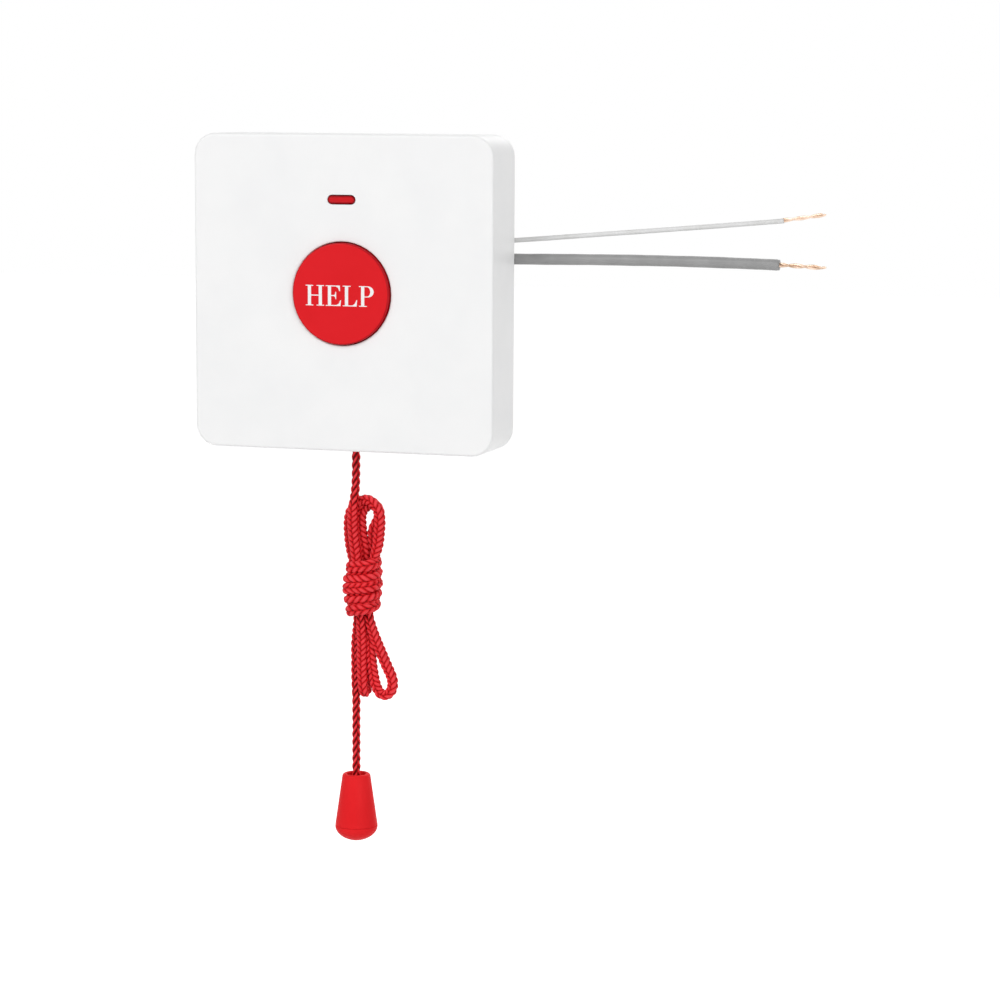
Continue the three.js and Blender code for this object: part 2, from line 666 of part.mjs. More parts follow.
/** The back plate: floor, rims, pad, ribs, fixing bosses, board posts and the slider's channel. */
function backPlate() {
  const flangeHalf = COVER_HALF - SEAT_FLANGE_INSET;
  const flangeFront = COVER_REAR + SEAT_GAP;
  const floor = alongY(roundedRectangle(BASE_HALF, BASE_HALF, BASE_CORNER), FLOOR_REAR, FLOOR_FRONT);
  const flangeWall = flangeHalf - BASE_HALF + RIM_THICKNESS;
  const flangeCorner = PANEL_CORNER - SEAT_FLANGE_INSET;
  const flangeRear = flangeFront + SEAT_FLANGE_THICKNESS;
  const flange = squareRing(flangeHalf, flangeCorner, flangeWall, flangeRear, flangeFront);
  const into = FLOOR_REAR - JOIN_OVERLAP;
  const root = FLOOR_FRONT + JOIN_OVERLAP;
  const rim = squareRing(BASE_HALF, BASE_CORNER, RIM_THICKNESS, 0, into);
  const skirt = squareRing(BASE_HALF, BASE_CORNER, SKIRT_THICKNESS, root, FLOOR_FRONT - SKIRT_HEIGHT);
  const pad = alongY(disc(PAD_RADIUS), 0, into, CIRCLE_STEPS);
  const posts = screwPlaces().map(([x, z]) => {
    const outline = disc(POST_RADIUS, x, z);
    return alongY(outline, root, FLOOR_FRONT - POST_HEIGHT, SMALL_CIRCLE_STEPS);
  });
  const bosses = [-1, 1].map((side) => {
    const length = FIXING_SLOT_LENGTH + 2 * FIXING_BOSS_WALL;
    const width = FIXING_SLOT_WIDTH + 2 * FIXING_BOSS_WALL;
    return alongY(stadium(length, width, (side * FIXING_SPACING) / 2, 0), 0, into);
  });
  const shell = joined(floor, flange, rim, skirt, pad, ...posts, ...bosses, ...rearRibs());
  return geometryOf(cutFrom(shell.add(sliderChannel()), ...backPlateCuts()));
}

/** Ribs on the rear of the floor, set back a little from the wall. */
function rearRibs() {
  const reach = BASE_HALF - RIM_THICKNESS + JOIN_OVERLAP;
  const into = FLOOR_REAR - JOIN_OVERLAP;
  const half = RIB_THICKNESS / 2;
  const ribs = [];
  for (const side of [-1, 1]) {
    const z = side * RIB_OFFSET;
    const near = PAD_RADIUS - half;
    const [low, high] = side > 0 ? [near, reach] : [-reach, -near];
    if (side < 0) ribs.push(box([-reach, into, z - half], [reach, -RIB_SETBACK, z + half]));
    ribs.push(box([-half, into, low], [half, -RIB_SETBACK, high]));
  }
  ribs.push(box([-reach, into, RIB_OFFSET - half], [half, -RIB_SETBACK, RIB_OFFSET + half]));
  return ribs;
}

/** Everything that is cut through the back plate. */
function backPlateCuts() {
  const through = [CUT_PAST, FLOOR_FRONT - CUT_PAST];
  const slots = [-1, 1].map((side) => {
    const outline = stadium(FIXING_SLOT_LENGTH, FIXING_SLOT_WIDTH, (side * FIXING_SPACING) / 2, 0);
    return alongY(outline, ...through);
  });
  const entryX = ENTRY_LEFT + ENTRY_WIDTH / 2;
  const entryZ = ENTRY_BOTTOM + ENTRY_HEIGHT / 2;
  const entryOutline = roundedRectangle(ENTRY_WIDTH / 2, ENTRY_HEIGHT / 2, ENTRY_CORNER, entryX, entryZ);
  const pilots = screwPlaces().map(([x, z]) => {
    const outline = disc(PILOT_RADIUS, x, z);
    return alongY(outline, FLOOR_REAR - PILOT_FLOOR, BOARD_REAR - CUT_PAST, SMALL_CIRCLE_STEPS);
  });
  const routes = [[GREY_LEAD, GREY_LEAD_RADIUS], [WHITE_LEAD, WHITE_LEAD_RADIUS]];
  const leadNotches = routes.map(([route, radius]) => {
    const [, y, z] = route[5];
    const half = radius + NOTCH_CLEARANCE;
    const near = BASE_HALF - RIM_THICKNESS - CUT_PAST;
    return box([near, y - half, z - half - NOTCH_SAG], [COVER_HALF + CUT_PAST, CUT_PAST, z + half]);
  });
  const bushRelief = BUSH_RADIUS + BUSH_FLANGE + 2 * SEAT_GAP;
  const skirtNotch = box(
    [-bushRelief, CORD_Y - bushRelief, -BASE_HALF - CUT_PAST],
    [bushRelief, FLOOR_FRONT - SEAT_GAP, -BASE_HALF + SKIRT_THICKNESS + CUT_PAST],
  );
  const windows = catchPlaces().map(catchWindow);
  return [...slots, alongY(entryOutline, ...through), ...pilots, ...leadNotches, skirtNotch, ...windows];
}

/** The channel that guides the slider: two lipped walls and a shelf for the return spring. */
function sliderChannel() {
  const inner = SLIDER_WIDTH / 2 + SLIDE_GAP;
  const outer = inner + CHANNEL_WALL;
  const lipRear = SLIDER_FRONT - SLIDE_GAP;
  const front = lipRear - CHANNEL_LIP_THICKNESS;
  const rear = FLOOR_FRONT + JOIN_OVERLAP;
  const parts = [];
  for (const side of [-1, 1]) {
    const wall = new THREE.Shape([
      new THREE.Vector2(side * outer, rear),
      new THREE.Vector2(side * outer, front),
      new THREE.Vector2(side * (inner - CHANNEL_LIP), front),
      new THREE.Vector2(side * (inner - CHANNEL_LIP), lipRear),
      new THREE.Vector2(side * inner, lipRear),
      new THREE.Vector2(side * inner, rear),
    ]);
    parts.push(alongZ(wall, CHANNEL_BOTTOM, CHANNEL_TOP));
  }
  const bedFront = CORD_Y + SLIDER_DEPTH / 2 + SLIDE_GAP;
  const bedHalf = outer - CHANNEL_WALL / 2;
  parts.push(box([-bedHalf, bedFront, CHANNEL_BOTTOM], [bedHalf, rear, CHANNEL_TOP]));
  parts.push(box([-bedHalf, lipRear, CHANNEL_BOTTOM], [bedHalf, rear, SHELF_TOP]));
  const slotHalf = CORD_BORE_RADIUS + CORD_SLOT_GAP;
  const cordSlot = box(
    [-slotHalf, front - CUT_PAST, CHANNEL_BOTTOM - CUT_PAST],
    [slotHalf, CORD_Y + slotHalf, SHELF_TOP + CUT_PAST],
  );
  const tabHalf = TAB_DEPTH / 2 + SLIDE_GAP;
  const tabFoot = TAB_BOTTOM - PULL_TRAVEL - SLIDE_GAP;
  const tabSlot = box(
    [inner - CHANNEL_LIP - CUT_PAST, PULL_SWITCH_Y - tabHalf, tabFoot],
    [outer + CUT_PAST, PULL_SWITCH_Y + tabHalf, CHANNEL_TOP + CUT_PAST],
  );
  return cutFrom(joined(...parts), cordSlot, tabSlot);
}

/** The call button: a hollow cap with a flange, two keys and a stem, turned about Y. */
function callButton() {
  const inside = BUTTON_RADIUS - BUTTON_WALL;
  const flangeRear = FLANGE_FRONT + BUTTON_FLANGE_THICKNESS;
  const stemEnd = PLUNGER_FRONT - SEAT_GAP;
  const edgeRadius = BUTTON_RADIUS - BUTTON_EDGE_FILLET;
  const edge = arcPoints(edgeRadius, BUTTON_FRONT + BUTTON_EDGE_FILLET, BUTTON_EDGE_FILLET, -1, 0, 4);
  const cap = turnedAboutY([
    [0, BUTTON_FRONT], ...edge, [BUTTON_RADIUS, FLANGE_FRONT], [FLANGE_RADIUS, FLANGE_FRONT],
    [FLANGE_RADIUS, flangeRear], [inside, flangeRear], [inside, BUTTON_INSIDE],
    [BUTTON_STEM_RADIUS, BUTTON_INSIDE], [BUTTON_STEM_RADIUS, stemEnd], [0, stemEnd],
  ]);
  const keys = [-1, 1].map((side) => {
    const near = inside + BUTTON_WALL / 4;
    const far = FLANGE_RADIUS + KEY_REACH;
    const [left, right] = side > 0 ? [near, far] : [-far, -near];
    return box([left, FLANGE_FRONT, -KEY_WIDTH / 2], [right, flangeRear, KEY_WIDTH / 2]);
  });
  return geometryOf(joined(cap, ...keys));
}

/** The light pipe: a pill-shaped lens through the cover, a flange and a bar back to the LED. */
function lightPipe() {
  const ledFront = BOARD_FRONT - SEAT_GAP - LED_DEPTH;
  const lensOutline = stadium(LIGHT_LENGTH, LIGHT_WIDTH, 0, LIGHT_Z);
  const lens = alongY(lensOutline, FLANGE_FRONT + JOIN_OVERLAP, COVER_FRONT - LIGHT_PROUD);
  const flangeOutline = stadium(LIGHT_LENGTH + 2 * LIGHT_FLANGE, LIGHT_WIDTH + 2 * LIGHT_FLANGE, 0, LIGHT_Z);
  const flange = alongY(flangeOutline, FLANGE_FRONT + LIGHT_FLANGE_THICKNESS, FLANGE_FRONT);
  const barOutline = stadium(LED_WIDTH + LIGHT_BAR_MARGIN, LIGHT_WIDTH, 0, LIGHT_Z);
  const bar = alongY(barOutline, ledFront - SEAT_GAP, FLANGE_FRONT + LIGHT_FLANGE_THICKNESS / 2);
  return geometryOf(joined(lens, flange, bar));
}

/** The surface-mounted LED under the light pipe. */
function statusLed() {
  const rear = BOARD_FRONT - SEAT_GAP;
  const front = rear - LED_DEPTH;
  const outline = roundedRectangle(LED_WIDTH / 2, LED_HEIGHT / 2, LED_CORNER, 0, LIGHT_Z);
  const body = alongY(outline, rear, front, 3);
  const floor = front + LED_CUP_DEPTH;
  const mouth = front - JOIN_OVERLAP;
  const profile = [[0, floor], [LED_CUP_FLOOR_RADIUS, floor], [LED_CUP_RADIUS, mouth], [0, mouth]];
  const cup = turnedAboutY(profile, TINY_TURN_STEPS);
  return geometryOf(cutFrom(solid(body), cup.translate(0, 0, LIGHT_Z)));
}

/** The circuit board, notched round the slider's channel. */
function circuitBoard() {
  const middle = (BOARD_TOP + BOARD_BOTTOM) / 2;
  const half = (BOARD_TOP - BOARD_BOTTOM) / 2;
  const outline = roundedRectangle(BOARD_WIDTH / 2, half, BOARD_CORNER, 0, middle);
  const plate = alongY(outline, BOARD_REAR, BOARD_FRONT, 4);
  const through = [BOARD_REAR + CUT_PAST, BOARD_FRONT - CUT_PAST];
  const notchHalf = BOARD_NOTCH_WIDTH / 2;
  const notch = box(
    [-notchHalf, through[1], BOARD_BOTTOM - CUT_PAST],
    [notchHalf, through[0], BOARD_NOTCH_TOP],
  );
  const holes = screwPlaces().map(([x, z]) => {
    const round = disc(PILOT_RADIUS, x, z);
    return alongY(round, ...through, SMALL_CIRCLE_STEPS);
  });
  return geometryOf(cutFrom(solid(plate), notch, ...holes));
}

/** A pan-headed board screw with a cross recess, its axis along Y. */
function boardScrew(x, z) {
  const under = BOARD_FRONT - SEAT_GAP;
  const top = under - SCREW_HEAD_HEIGHT;
  const end = under + SCREW_LENGTH;
  const domeAt = SCREW_HEAD_RADIUS - SCREW_HEAD_FILLET;
  const dome = arcPoints(domeAt, top + SCREW_HEAD_FILLET, SCREW_HEAD_FILLET, 0, -1, 4);
  const body = turnedAboutY([
    [0, end], [SCREW_TIP_RADIUS, end], [SCREW_RADIUS, end - SCREW_RADIUS],
    [SCREW_RADIUS, under], [SCREW_HEAD_RADIUS, under], ...dome, [0, top],
  ], SCREW_TURN_STEPS);
  const mouth = top - CUT_PAST;
  const floor = top + CROSS_DEPTH;
  const cross = [
    box([-CROSS_ARM, mouth, -CROSS_HALF_WIDTH], [CROSS_ARM, floor, CROSS_HALF_WIDTH]),
    box([-CROSS_HALF_WIDTH, mouth, -CROSS_ARM], [CROSS_HALF_WIDTH, floor, CROSS_ARM]),
  ];
  return geometryOf(cutFrom(solid(body), ...cross)).translate(x, 0, z);
}

/** The push switch's square body with its pins and the well of its plunger. */
function pushSwitchBody() {
  const half = PUSH_SWITCH_SIZE / 2;
  const outline = roundedRectangle(half, half, PUSH_SWITCH_CORNER);
  const body = alongY(outline, PUSH_SWITCH_REAR, PUSH_SWITCH_FRONT, 3);
  const wellFloor = PUSH_SWITCH_FRONT + PLUNGER_BURIED + BUTTON_TRAVEL + PLUNGER_FLOOR;
  const mouth = PUSH_SWITCH_FRONT - CUT_PAST;
  const well = alongY(disc(PLUNGER_RADIUS + SLIDE_GAP), wellFloor, mouth, CIRCLE_STEPS);
  const place = half - DIMPLE_INSET;
  const dimples = [[-1, -1], [1, -1], [-1, 1], [1, 1]].map(([sx, sz]) => {
    const round = disc(DIMPLE_RADIUS, sx * place, sz * place);
    return alongY(round, PUSH_SWITCH_FRONT + DIMPLE_DEPTH, mouth, 4);
  });
  return geometryOf(cutFrom(solid(body), well, ...dimples));
}

/** The push switch's round plunger. */
function pushSwitchPlunger() {
  const rear = PUSH_SWITCH_FRONT + PLUNGER_BURIED;
  const edgeRadius = PLUNGER_RADIUS - PLUNGER_FILLET;
  const edge = arcPoints(edgeRadius, PLUNGER_FRONT + PLUNGER_FILLET, PLUNGER_FILLET, 0, -1, 3);
  return turnedAboutY([[0, rear], [PLUNGER_RADIUS, rear], ...edge, [0, PLUNGER_FRONT]], SMALL_TURN_STEPS);
}

/** The button's return spring, round the plunger and the stem. */
function buttonSpring() {
  const rear = PUSH_SWITCH_FRONT - SEAT_GAP;
  const front = BUTTON_INSIDE + SEAT_GAP;
  const coil = spring(BUTTON_SPRING_RADIUS, BUTTON_SPRING_TURNS, -rear, -front);
  return coil.rotateX(Math.PI / 2);
}

/** The slider: a block with the cord's bore, the knot's pocket and the tab that works the lever. */
function cordSlider() {
  const rear = CORD_Y + SLIDER_DEPTH / 2;
  const outline = roundedRectangle(SLIDER_WIDTH / 2, SLIDER_DEPTH / 2, SLIDER_FILLET, 0, CORD_Y);
  const block = alongZ(outline, SLIDER_BOTTOM, SLIDER_TOP, 3);
  const tabEnd = SLIDER_WIDTH / 2 + TAB_REACH;
  const tab = box(
    [SLIDER_WIDTH / 2 - CUT_PAST, PULL_SWITCH_Y - TAB_DEPTH / 2, TAB_BOTTOM],
    [tabEnd, PULL_SWITCH_Y + TAB_DEPTH / 2, TAB_BOTTOM + TAB_HEIGHT],
  );
  const above = SLIDER_TOP + CUT_PAST;
  const below = SLIDER_BOTTOM - CUT_PAST;
  const bore = alongZ(disc(CORD_BORE_RADIUS, 0, CORD_Y), below, above, SMALL_CIRCLE_STEPS);
  const pocket = alongZ(disc(KNOT_POCKET_RADIUS, 0, CORD_Y), POCKET_FLOOR, above, SMALL_CIRCLE_STEPS);
  const reliefHalf = SLIDER_WIDTH / 2 - RELIEF_WALL;
  const relief = box(
    [-reliefHalf, rear - RELIEF_DEPTH, SLIDER_BOTTOM + RELIEF_WALL],
    [reliefHalf, rear + CUT_PAST, POCKET_FLOOR - RELIEF_WALL / 2],
  );
  return geometryOf(cutFrom(joined(block, tab), bore, pocket, relief));
}

/** The spring that lifts the slider back, round the cord. */
function returnSpring() {
  const foot = SHELF_TOP + SEAT_GAP;
  const coil = spring(RETURN_SPRING_RADIUS, RETURN_SPRING_TURNS, foot, SLIDER_BOTTOM - SEAT_GAP);
  return coil.translate(0, CORD_Y, 0);
}

/** The pull switch's body, with a pair of ears that carry the lever's pin. */
function pullSwitchBody() {
  const right = PULL_SWITCH_LEFT + PULL_SWITCH_WIDTH;
  const bottom = PULL_SWITCH_TOP - PULL_SWITCH_HEIGHT;
  const front = PULL_SWITCH_REAR - PULL_SWITCH_DEPTH;
  const middleX = (PULL_SWITCH_LEFT + right) / 2;
  const middleZ = (PULL_SWITCH_TOP + bottom) / 2;
  const halfWidth = PULL_SWITCH_WIDTH / 2;
  const outline = roundedRectangle(halfWidth, PULL_SWITCH_HEIGHT / 2, PULL_SWITCH_CORNER, middleX, middleZ);
  const body = alongY(outline, PULL_SWITCH_REAR, front, 3);
  const ears = [PULL_SWITCH_REAR - EAR_THICKNESS, front].map((y) => box(
    [LEVER_PIVOT_X - EAR_MARGIN, y, PULL_SWITCH_TOP - CUT_PAST],
    [right, y + EAR_THICKNESS, LEVER_PIVOT_Z + EAR_MARGIN],
  ));
  const through = [PULL_SWITCH_REAR + CUT_PAST, front - CUT_PAST];
  const pinHole = alongY(disc(PIN_RADIUS + PIN_HOLE_GAP, LEVER_PIVOT_X, LEVER_PIVOT_Z), ...through, 6);
  const holes = [-1, 1].map((side) => {
    const round = disc(MOUNT_HOLE_RADIUS, middleX + side * MOUNT_HOLE_OFFSET, bottom + MOUNT_HOLE_RISE);
    return alongY(round, ...through, 6);
  });
  const [buttonX] = pinButtonPlace();
  const wellRound = disc(PIN_BUTTON_RADIUS + WELL_GAP, buttonX, PULL_SWITCH_Y);
  const well = alongZ(wellRound, PULL_SWITCH_TOP - WELL_DEPTH, PULL_SWITCH_TOP + CUT_PAST, 6);
  return geometryOf(cutFrom(joined(body, ...ears), pinHole, ...holes, well));
}

/** Where the lever meets the pull switch's pin button at rest: [x, height of the lever's underside]. */
function pinButtonPlace() {
  const x = LEVER_PIVOT_X - PIN_BUTTON_ARM;
  const rise = (PIN_BUTTON_ARM - PIN_BUTTON_RADIUS) * Math.tan(LEVER_REST_ANGLE);
  return [x, LEVER_PIVOT_Z + rise - LEVER_THICKNESS / 2 / Math.cos(LEVER_REST_ANGLE)];
}

/** The pull switch's pin button, pressed by the lever. */
function pullSwitchButton() {
  const [x, underside] = pinButtonPlace();
  const top = underside - SEAT_GAP;
  const bottom = PULL_SWITCH_TOP - WELL_DEPTH + SEAT_GAP / 2 + PIN_BUTTON_TRAVEL;
  const edgeRadius = PIN_BUTTON_RADIUS - PIN_BUTTON_FILLET;
  const edge = arcPoints(edgeRadius, top - PIN_BUTTON_FILLET, PIN_BUTTON_FILLET, 0, 1, 3);
  const profile = [[0, bottom], [PIN_BUTTON_RADIUS, bottom], ...edge, [0, top]];
  return turnedAboutZ(profile, TINY_TURN_STEPS).translate(x, PULL_SWITCH_Y, 0);
}

/** The lever: a pressed blade with a rolled hub on the pin and a curled tip under the tab. */
function pullLever() {
  const half = LEVER_WIDTH / 2;
  const root = -(HUB_RADIUS + HUB_BORE_RADIUS) / 2;
  const blade = box([-LEVER_LENGTH, -half, -LEVER_THICKNESS / 2], [root, half, LEVER_THICKNESS / 2]);
  const tip = alongY(disc(LEVER_THICKNESS / 2, -LEVER_LENGTH, 0), half, -half, 4);
  const hub = alongY(disc(HUB_RADIUS), half, -half, 6);
  const bore = alongY(disc(HUB_BORE_RADIUS), half + CUT_PAST, -half - CUT_PAST, 6);
  const lever = geometryOf(cutFrom(joined(blade, tip, hub), bore));
  return lever.rotateY(LEVER_REST_ANGLE).translate(LEVER_PIVOT_X, PULL_SWITCH_Y, LEVER_PIVOT_Z);
}

/** The pin that the lever turns on, held in the switch's ears. */
function leverPin() {
  const reach = PULL_SWITCH_DEPTH / 2;
  const pin = alongY(disc(PIN_RADIUS), reach, -reach, 5);
  return pin.translate(LEVER_PIVOT_X, PULL_SWITCH_Y, LEVER_PIVOT_Z);
}

/** The nylon bush in the cover's bottom wall, with a rounded mouth below. */
function cordBush() {
  const bottom = -COVER_HALF;
  const flangeBottom = -COVER_INSIDE_HALF + SEAT_GAP;
  const top = flangeBottom + BUSH_FLANGE_THICKNESS;
  const filletAt = CORD_BORE_RADIUS + BUSH_MOUTH_FILLET;
  const mouth = arcPoints(filletAt, bottom + BUSH_MOUTH_FILLET, BUSH_MOUTH_FILLET, 3, 2, 3);
  const crown = arcPoints(filletAt, top - BUSH_MOUTH_FILLET, BUSH_MOUTH_FILLET, 2, 1, 3);
  const flangeRadius = BUSH_RADIUS + BUSH_FLANGE;
  const profile = [
    [BUSH_RADIUS, bottom], ...mouth, ...crown, [flangeRadius, top], [flangeRadius, flangeBottom],
    [BUSH_RADIUS, flangeBottom], [BUSH_RADIUS, bottom],
  ];
  return turnedAboutZ(profile, SMALL_TURN_STEPS).translate(0, CORD_Y, 0);
}

/** A tight knot's outer shape: a short barrel with round ends. */
function knot(z) {
  const squash = KNOT_HEIGHT / 2 / KNOT_RADIUS;
  const profile = arcPoints(0, 0, KNOT_RADIUS, -1, 1, 8).map(([r, h]) => [Math.max(r, 0), z + h * squash]);
  return turnedAboutZ(profile, TINY_TURN_STEPS).translate(0, CORD_Y, 0);
}

/** A straight stretch of the pull cord. */
function straightCord(top, bottom) {
  const steps = Math.ceil((top - bottom) / (5 * CORD_RADIUS));
  return tube([[0, CORD_Y, top], [0, CORD_Y, bottom]], CORD_RADIUS, steps);
}

/** The hank: the outer shape of the wound cord, as a stack of ellipses smoothed from level to level. */
function cordHank() {
  const widths = HANK_LEVELS.map(([z, left, right]) => new THREE.Vector3(left, right, z));
  const thicknesses = HANK_LEVELS.map(([z, , , depth]) => new THREE.Vector3(depth, 0, z));
  const sides = new THREE.CatmullRomCurve3(widths);
  const depths = new THREE.CatmullRomCurve3(thicknesses);
  const levels = (HANK_LEVELS.length - 1) * HANK_STEPS_A_LEVEL;
  const position = [];
  const index = [];
  for (let level = 0; level <= levels; level += 1) {
    const { x: left, y: right, z } = sides.getPoint(level / levels);
    const depth = depths.getPoint(level / levels).x;
    for (let n = 0; n < HANK_SIDES; n += 1) {
      const angle = (2 * Math.PI * n) / HANK_SIDES;
      const x = (left + right) / 2 + ((right - left) / 2) * Math.cos(angle);
      position.push(x, CORD_Y + (depth / 2) * Math.sin(angle), z);
      if (level === levels) continue;
      const next = (n + 1) % HANK_SIDES;
      const high = level * HANK_SIDES;
      const low = high + HANK_SIDES;
      index.push(high + n, low + n, low + next, high + n, low + next, high + next);
    }
  }
  const last = levels * HANK_SIDES;
  for (let n = 1; n < HANK_SIDES - 1; n += 1) {
    index.push(0, n, n + 1);
    index.push(last, last + n + 1, last + n);
  }
  const geometry = new THREE.BufferGeometry();
  geometry.setAttribute('position', new THREE.Float32BufferAttribute(position, 3));
  geometry.setIndex(index);
  return geometry;
}

/** The knob's hollow cone, with a recess round the cord and a web that the knot bears on. */
function pullKnob() {
  const rim = KNOB_TOP - KNOB_RIM_FILLET;
  const outerRim = arcPoints(KNOB_TOP_RADIUS - KNOB_RIM_FILLET, rim, KNOB_RIM_FILLET, 1, 0, 4);
  const innerRadius = KNOB_RECESS_RADIUS + KNOB_RECESS_FILLET;
  const innerRim = arcPoints(innerRadius, KNOB_TOP - KNOB_RECESS_FILLET, KNOB_RECESS_FILLET, 2, 1, 2);
  const hollowTop = KNOB_TOP_RADIUS - KNOB_WALL + (KNOB_TOP - WEB_BOTTOM) * KNOB_SLOPE;
  const hollowBase = KNOB_BASE_RADIUS - KNOB_WALL;
  const profile = [
    [CORD_BORE_RADIUS, WEB_BOTTOM], [CORD_BORE_RADIUS, WEB_TOP], [KNOB_RECESS_RADIUS, WEB_TOP], ...innerRim,
    ...outerRim, [KNOB_BASE_RADIUS, KNOB_BASE], [hollowBase, KNOB_BASE], [hollowTop, WEB_BOTTOM],
    [CORD_BORE_RADIUS, WEB_BOTTOM],
  ];
  return turnedAboutZ(profile, KNOB_TURN_STEPS).translate(0, CORD_Y, 0);
}

/** The domed cap that plugs the knob from below. */
function knobCap() {
  const top = KNOB_BASE - SEAT_GAP;
  const spigotRadius = KNOB_BASE_RADIUS - KNOB_WALL - CAP_SPIGOT * KNOB_SLOPE - SEAT_GAP;
  const round = arcPoints(0, 0, 1, -1, 0, 9);
  const dome = round.map(([r, h]) => [Math.max(r, 0) * KNOB_BASE_RADIUS, top + h * CAP_DOME]);
  const profile = [...dome, [spigotRadius, top], [spigotRadius, top + CAP_SPIGOT], [0, top + CAP_SPIGOT]];
  return turnedAboutZ(profile, KNOB_TURN_STEPS).translate(0, CORD_Y, 0);
}

/** A chip part on the board's front, with its low corner at [x, z]. */
function chip(x, z, width, height, depth) {
  const rear = BOARD_FRONT - SEAT_GAP;
  return box([x, rear - depth, z], [x + width, rear, z + height]);
}

const station = new THREE.Group();

/** Adds one named piece to a group. */
function piece(group, name, geometry, material) {
  const mesh = new THREE.Mesh(closed(geometry), material);
  mesh.name = name;
  group.add(mesh);
}

/** The housing's two shells and the bush. */
function housing() {
  const group = new THREE.Group();
  piece(group, 'front_cover', frontCover(), whitePlastic);
  piece(group, 'back_plate', backPlate(), innerPlastic);
  piece(group, 'cord_bush', cordBush(), nylon);
  return group;
}

/** The circuit board and what is soldered and screwed to it. */
function board() {
  const group = new THREE.Group();
  piece(group, 'circuit_board', circuitBoard(), boardGreen);
  screwPlaces().forEach(([x, z], n) => piece(group, `board_screw_${n + 1}`, boardScrew(x, z), steel));
  piece(group, 'status_led', statusLed(), ledWhite);
  piece(group, 'light_pipe', lightPipe(), redLens);
  const resistorZ = LIGHT_Z - RESISTOR_HEIGHT / 2;
  const resistor = chip(RESISTOR_X, resistorZ, RESISTOR_WIDTH, RESISTOR_HEIGHT, RESISTOR_DEPTH);
  const diode = chip(DIODE_X, DIODE_Z, DIODE_WIDTH, DIODE_HEIGHT, DIODE_DEPTH);
  piece(group, 'led_resistor', resistor, blackPlastic);
  piece(group, 'protection_diode', diode, blackPlastic);
  piece(group, 'push_switch_body', pushSwitchBody(), blackPlastic);
  piece(group, 'pull_switch_body', pullSwitchBody(), blackPlastic);
  piece(group, 'lever_pin', leverPin(), steel);
  return group;
}

/** The call button and the parts that move with it. */
function callAssembly() {
  const group = new THREE.Group();
  piece(group, 'call_button', callButton(), redPlastic);
  piece(group, 'button_spring', buttonSpring(), springSteel);
  piece(group, 'push_switch_plunger', pushSwitchPlunger(), nylon);
  return group;
}

/** The slider, its spring and lever, and the cord with its hank, knots and knob. */
function pullAssembly() {
  const group = new THREE.Group();
  const hankTop = HANK_LEVELS[0][0];
  const hankFoot = HANK_LEVELS.at(-2)[0] - HANK_FOOT_DROP;
  const upperFoot = hankTop + SEAT_GAP;
  const upperHead = TOP_KNOT_Z - KNOT_HEIGHT / 2 - SEAT_GAP;
  const lowerFoot = END_KNOT_Z + KNOT_HEIGHT / 2 + SEAT_GAP;
  piece(group, 'cord_slider', cordSlider(), nylon);
  piece(group, 'return_spring', returnSpring(), springSteel);
  piece(group, 'pull_lever', pullLever(), springSteel);
  piece(group, 'pull_switch_button', pullSwitchButton(), nylon);
  piece(group, 'cord_top_knot', knot(TOP_KNOT_Z), redBraid);
  piece(group, 'cord_upper', straightCord(upperHead, upperFoot), redBraid);
  piece(group, 'cord_hank', cordHank(), redBraid);
  piece(group, 'cord_lower', straightCord(hankFoot - SEAT_GAP, lowerFoot), redBraid);
  piece(group, 'cord_end_knot', knot(END_KNOT_Z), redBraid);
  piece(group, 'pull_knob', pullKnob(), redKnob);
  piece(group, 'knob_cap', knobCap(), redKnob);
  return group;
}

/** The two leads that leave at the right, each with its bared copper end. */
function leads() {
  const group = new THREE.Group();
  piece(group, 'grey_lead', tube(GREY_LEAD, GREY_LEAD_RADIUS, LEAD_STEPS), greyJacket);
  piece(group, 'grey_lead_copper', tube(GREY_COPPER, COPPER_RADIUS, COPPER_STEPS), copper);
  piece(group, 'white_lead', tube(WHITE_LEAD, WHITE_LEAD_RADIUS, LEAD_STEPS), whiteJacket);
  piece(group, 'white_lead_copper', tube(WHITE_COPPER, COPPER_RADIUS, COPPER_STEPS), copper);
  return group;
}

station.add(housing(), board(), callAssembly(), pullAssembly(), leads());

export default station;
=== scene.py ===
"""Looks of an emergency pull cord alarm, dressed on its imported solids.

Metres. X runs to the right, Y into the wall and Z up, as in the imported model.
"""

import logging
import math
from dataclasses import dataclass
from enum import Enum

import bmesh
import bpy
import numpy as np
from mathutils import Matrix, Vector


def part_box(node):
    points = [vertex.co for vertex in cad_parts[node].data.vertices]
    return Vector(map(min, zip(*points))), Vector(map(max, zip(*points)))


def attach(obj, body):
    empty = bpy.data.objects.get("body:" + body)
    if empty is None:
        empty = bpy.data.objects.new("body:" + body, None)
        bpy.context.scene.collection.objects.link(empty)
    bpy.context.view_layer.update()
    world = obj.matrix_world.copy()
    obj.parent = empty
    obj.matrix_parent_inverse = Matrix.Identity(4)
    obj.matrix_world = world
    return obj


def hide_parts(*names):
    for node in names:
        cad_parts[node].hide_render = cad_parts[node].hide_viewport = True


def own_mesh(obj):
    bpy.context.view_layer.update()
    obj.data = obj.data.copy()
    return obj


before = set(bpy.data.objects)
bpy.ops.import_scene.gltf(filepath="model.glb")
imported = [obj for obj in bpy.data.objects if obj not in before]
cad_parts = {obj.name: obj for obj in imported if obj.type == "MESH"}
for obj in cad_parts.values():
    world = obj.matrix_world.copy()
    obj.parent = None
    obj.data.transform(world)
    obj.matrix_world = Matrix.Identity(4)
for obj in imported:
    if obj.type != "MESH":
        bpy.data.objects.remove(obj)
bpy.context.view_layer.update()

MM = 0.001
log = logging.getLogger("alarm")

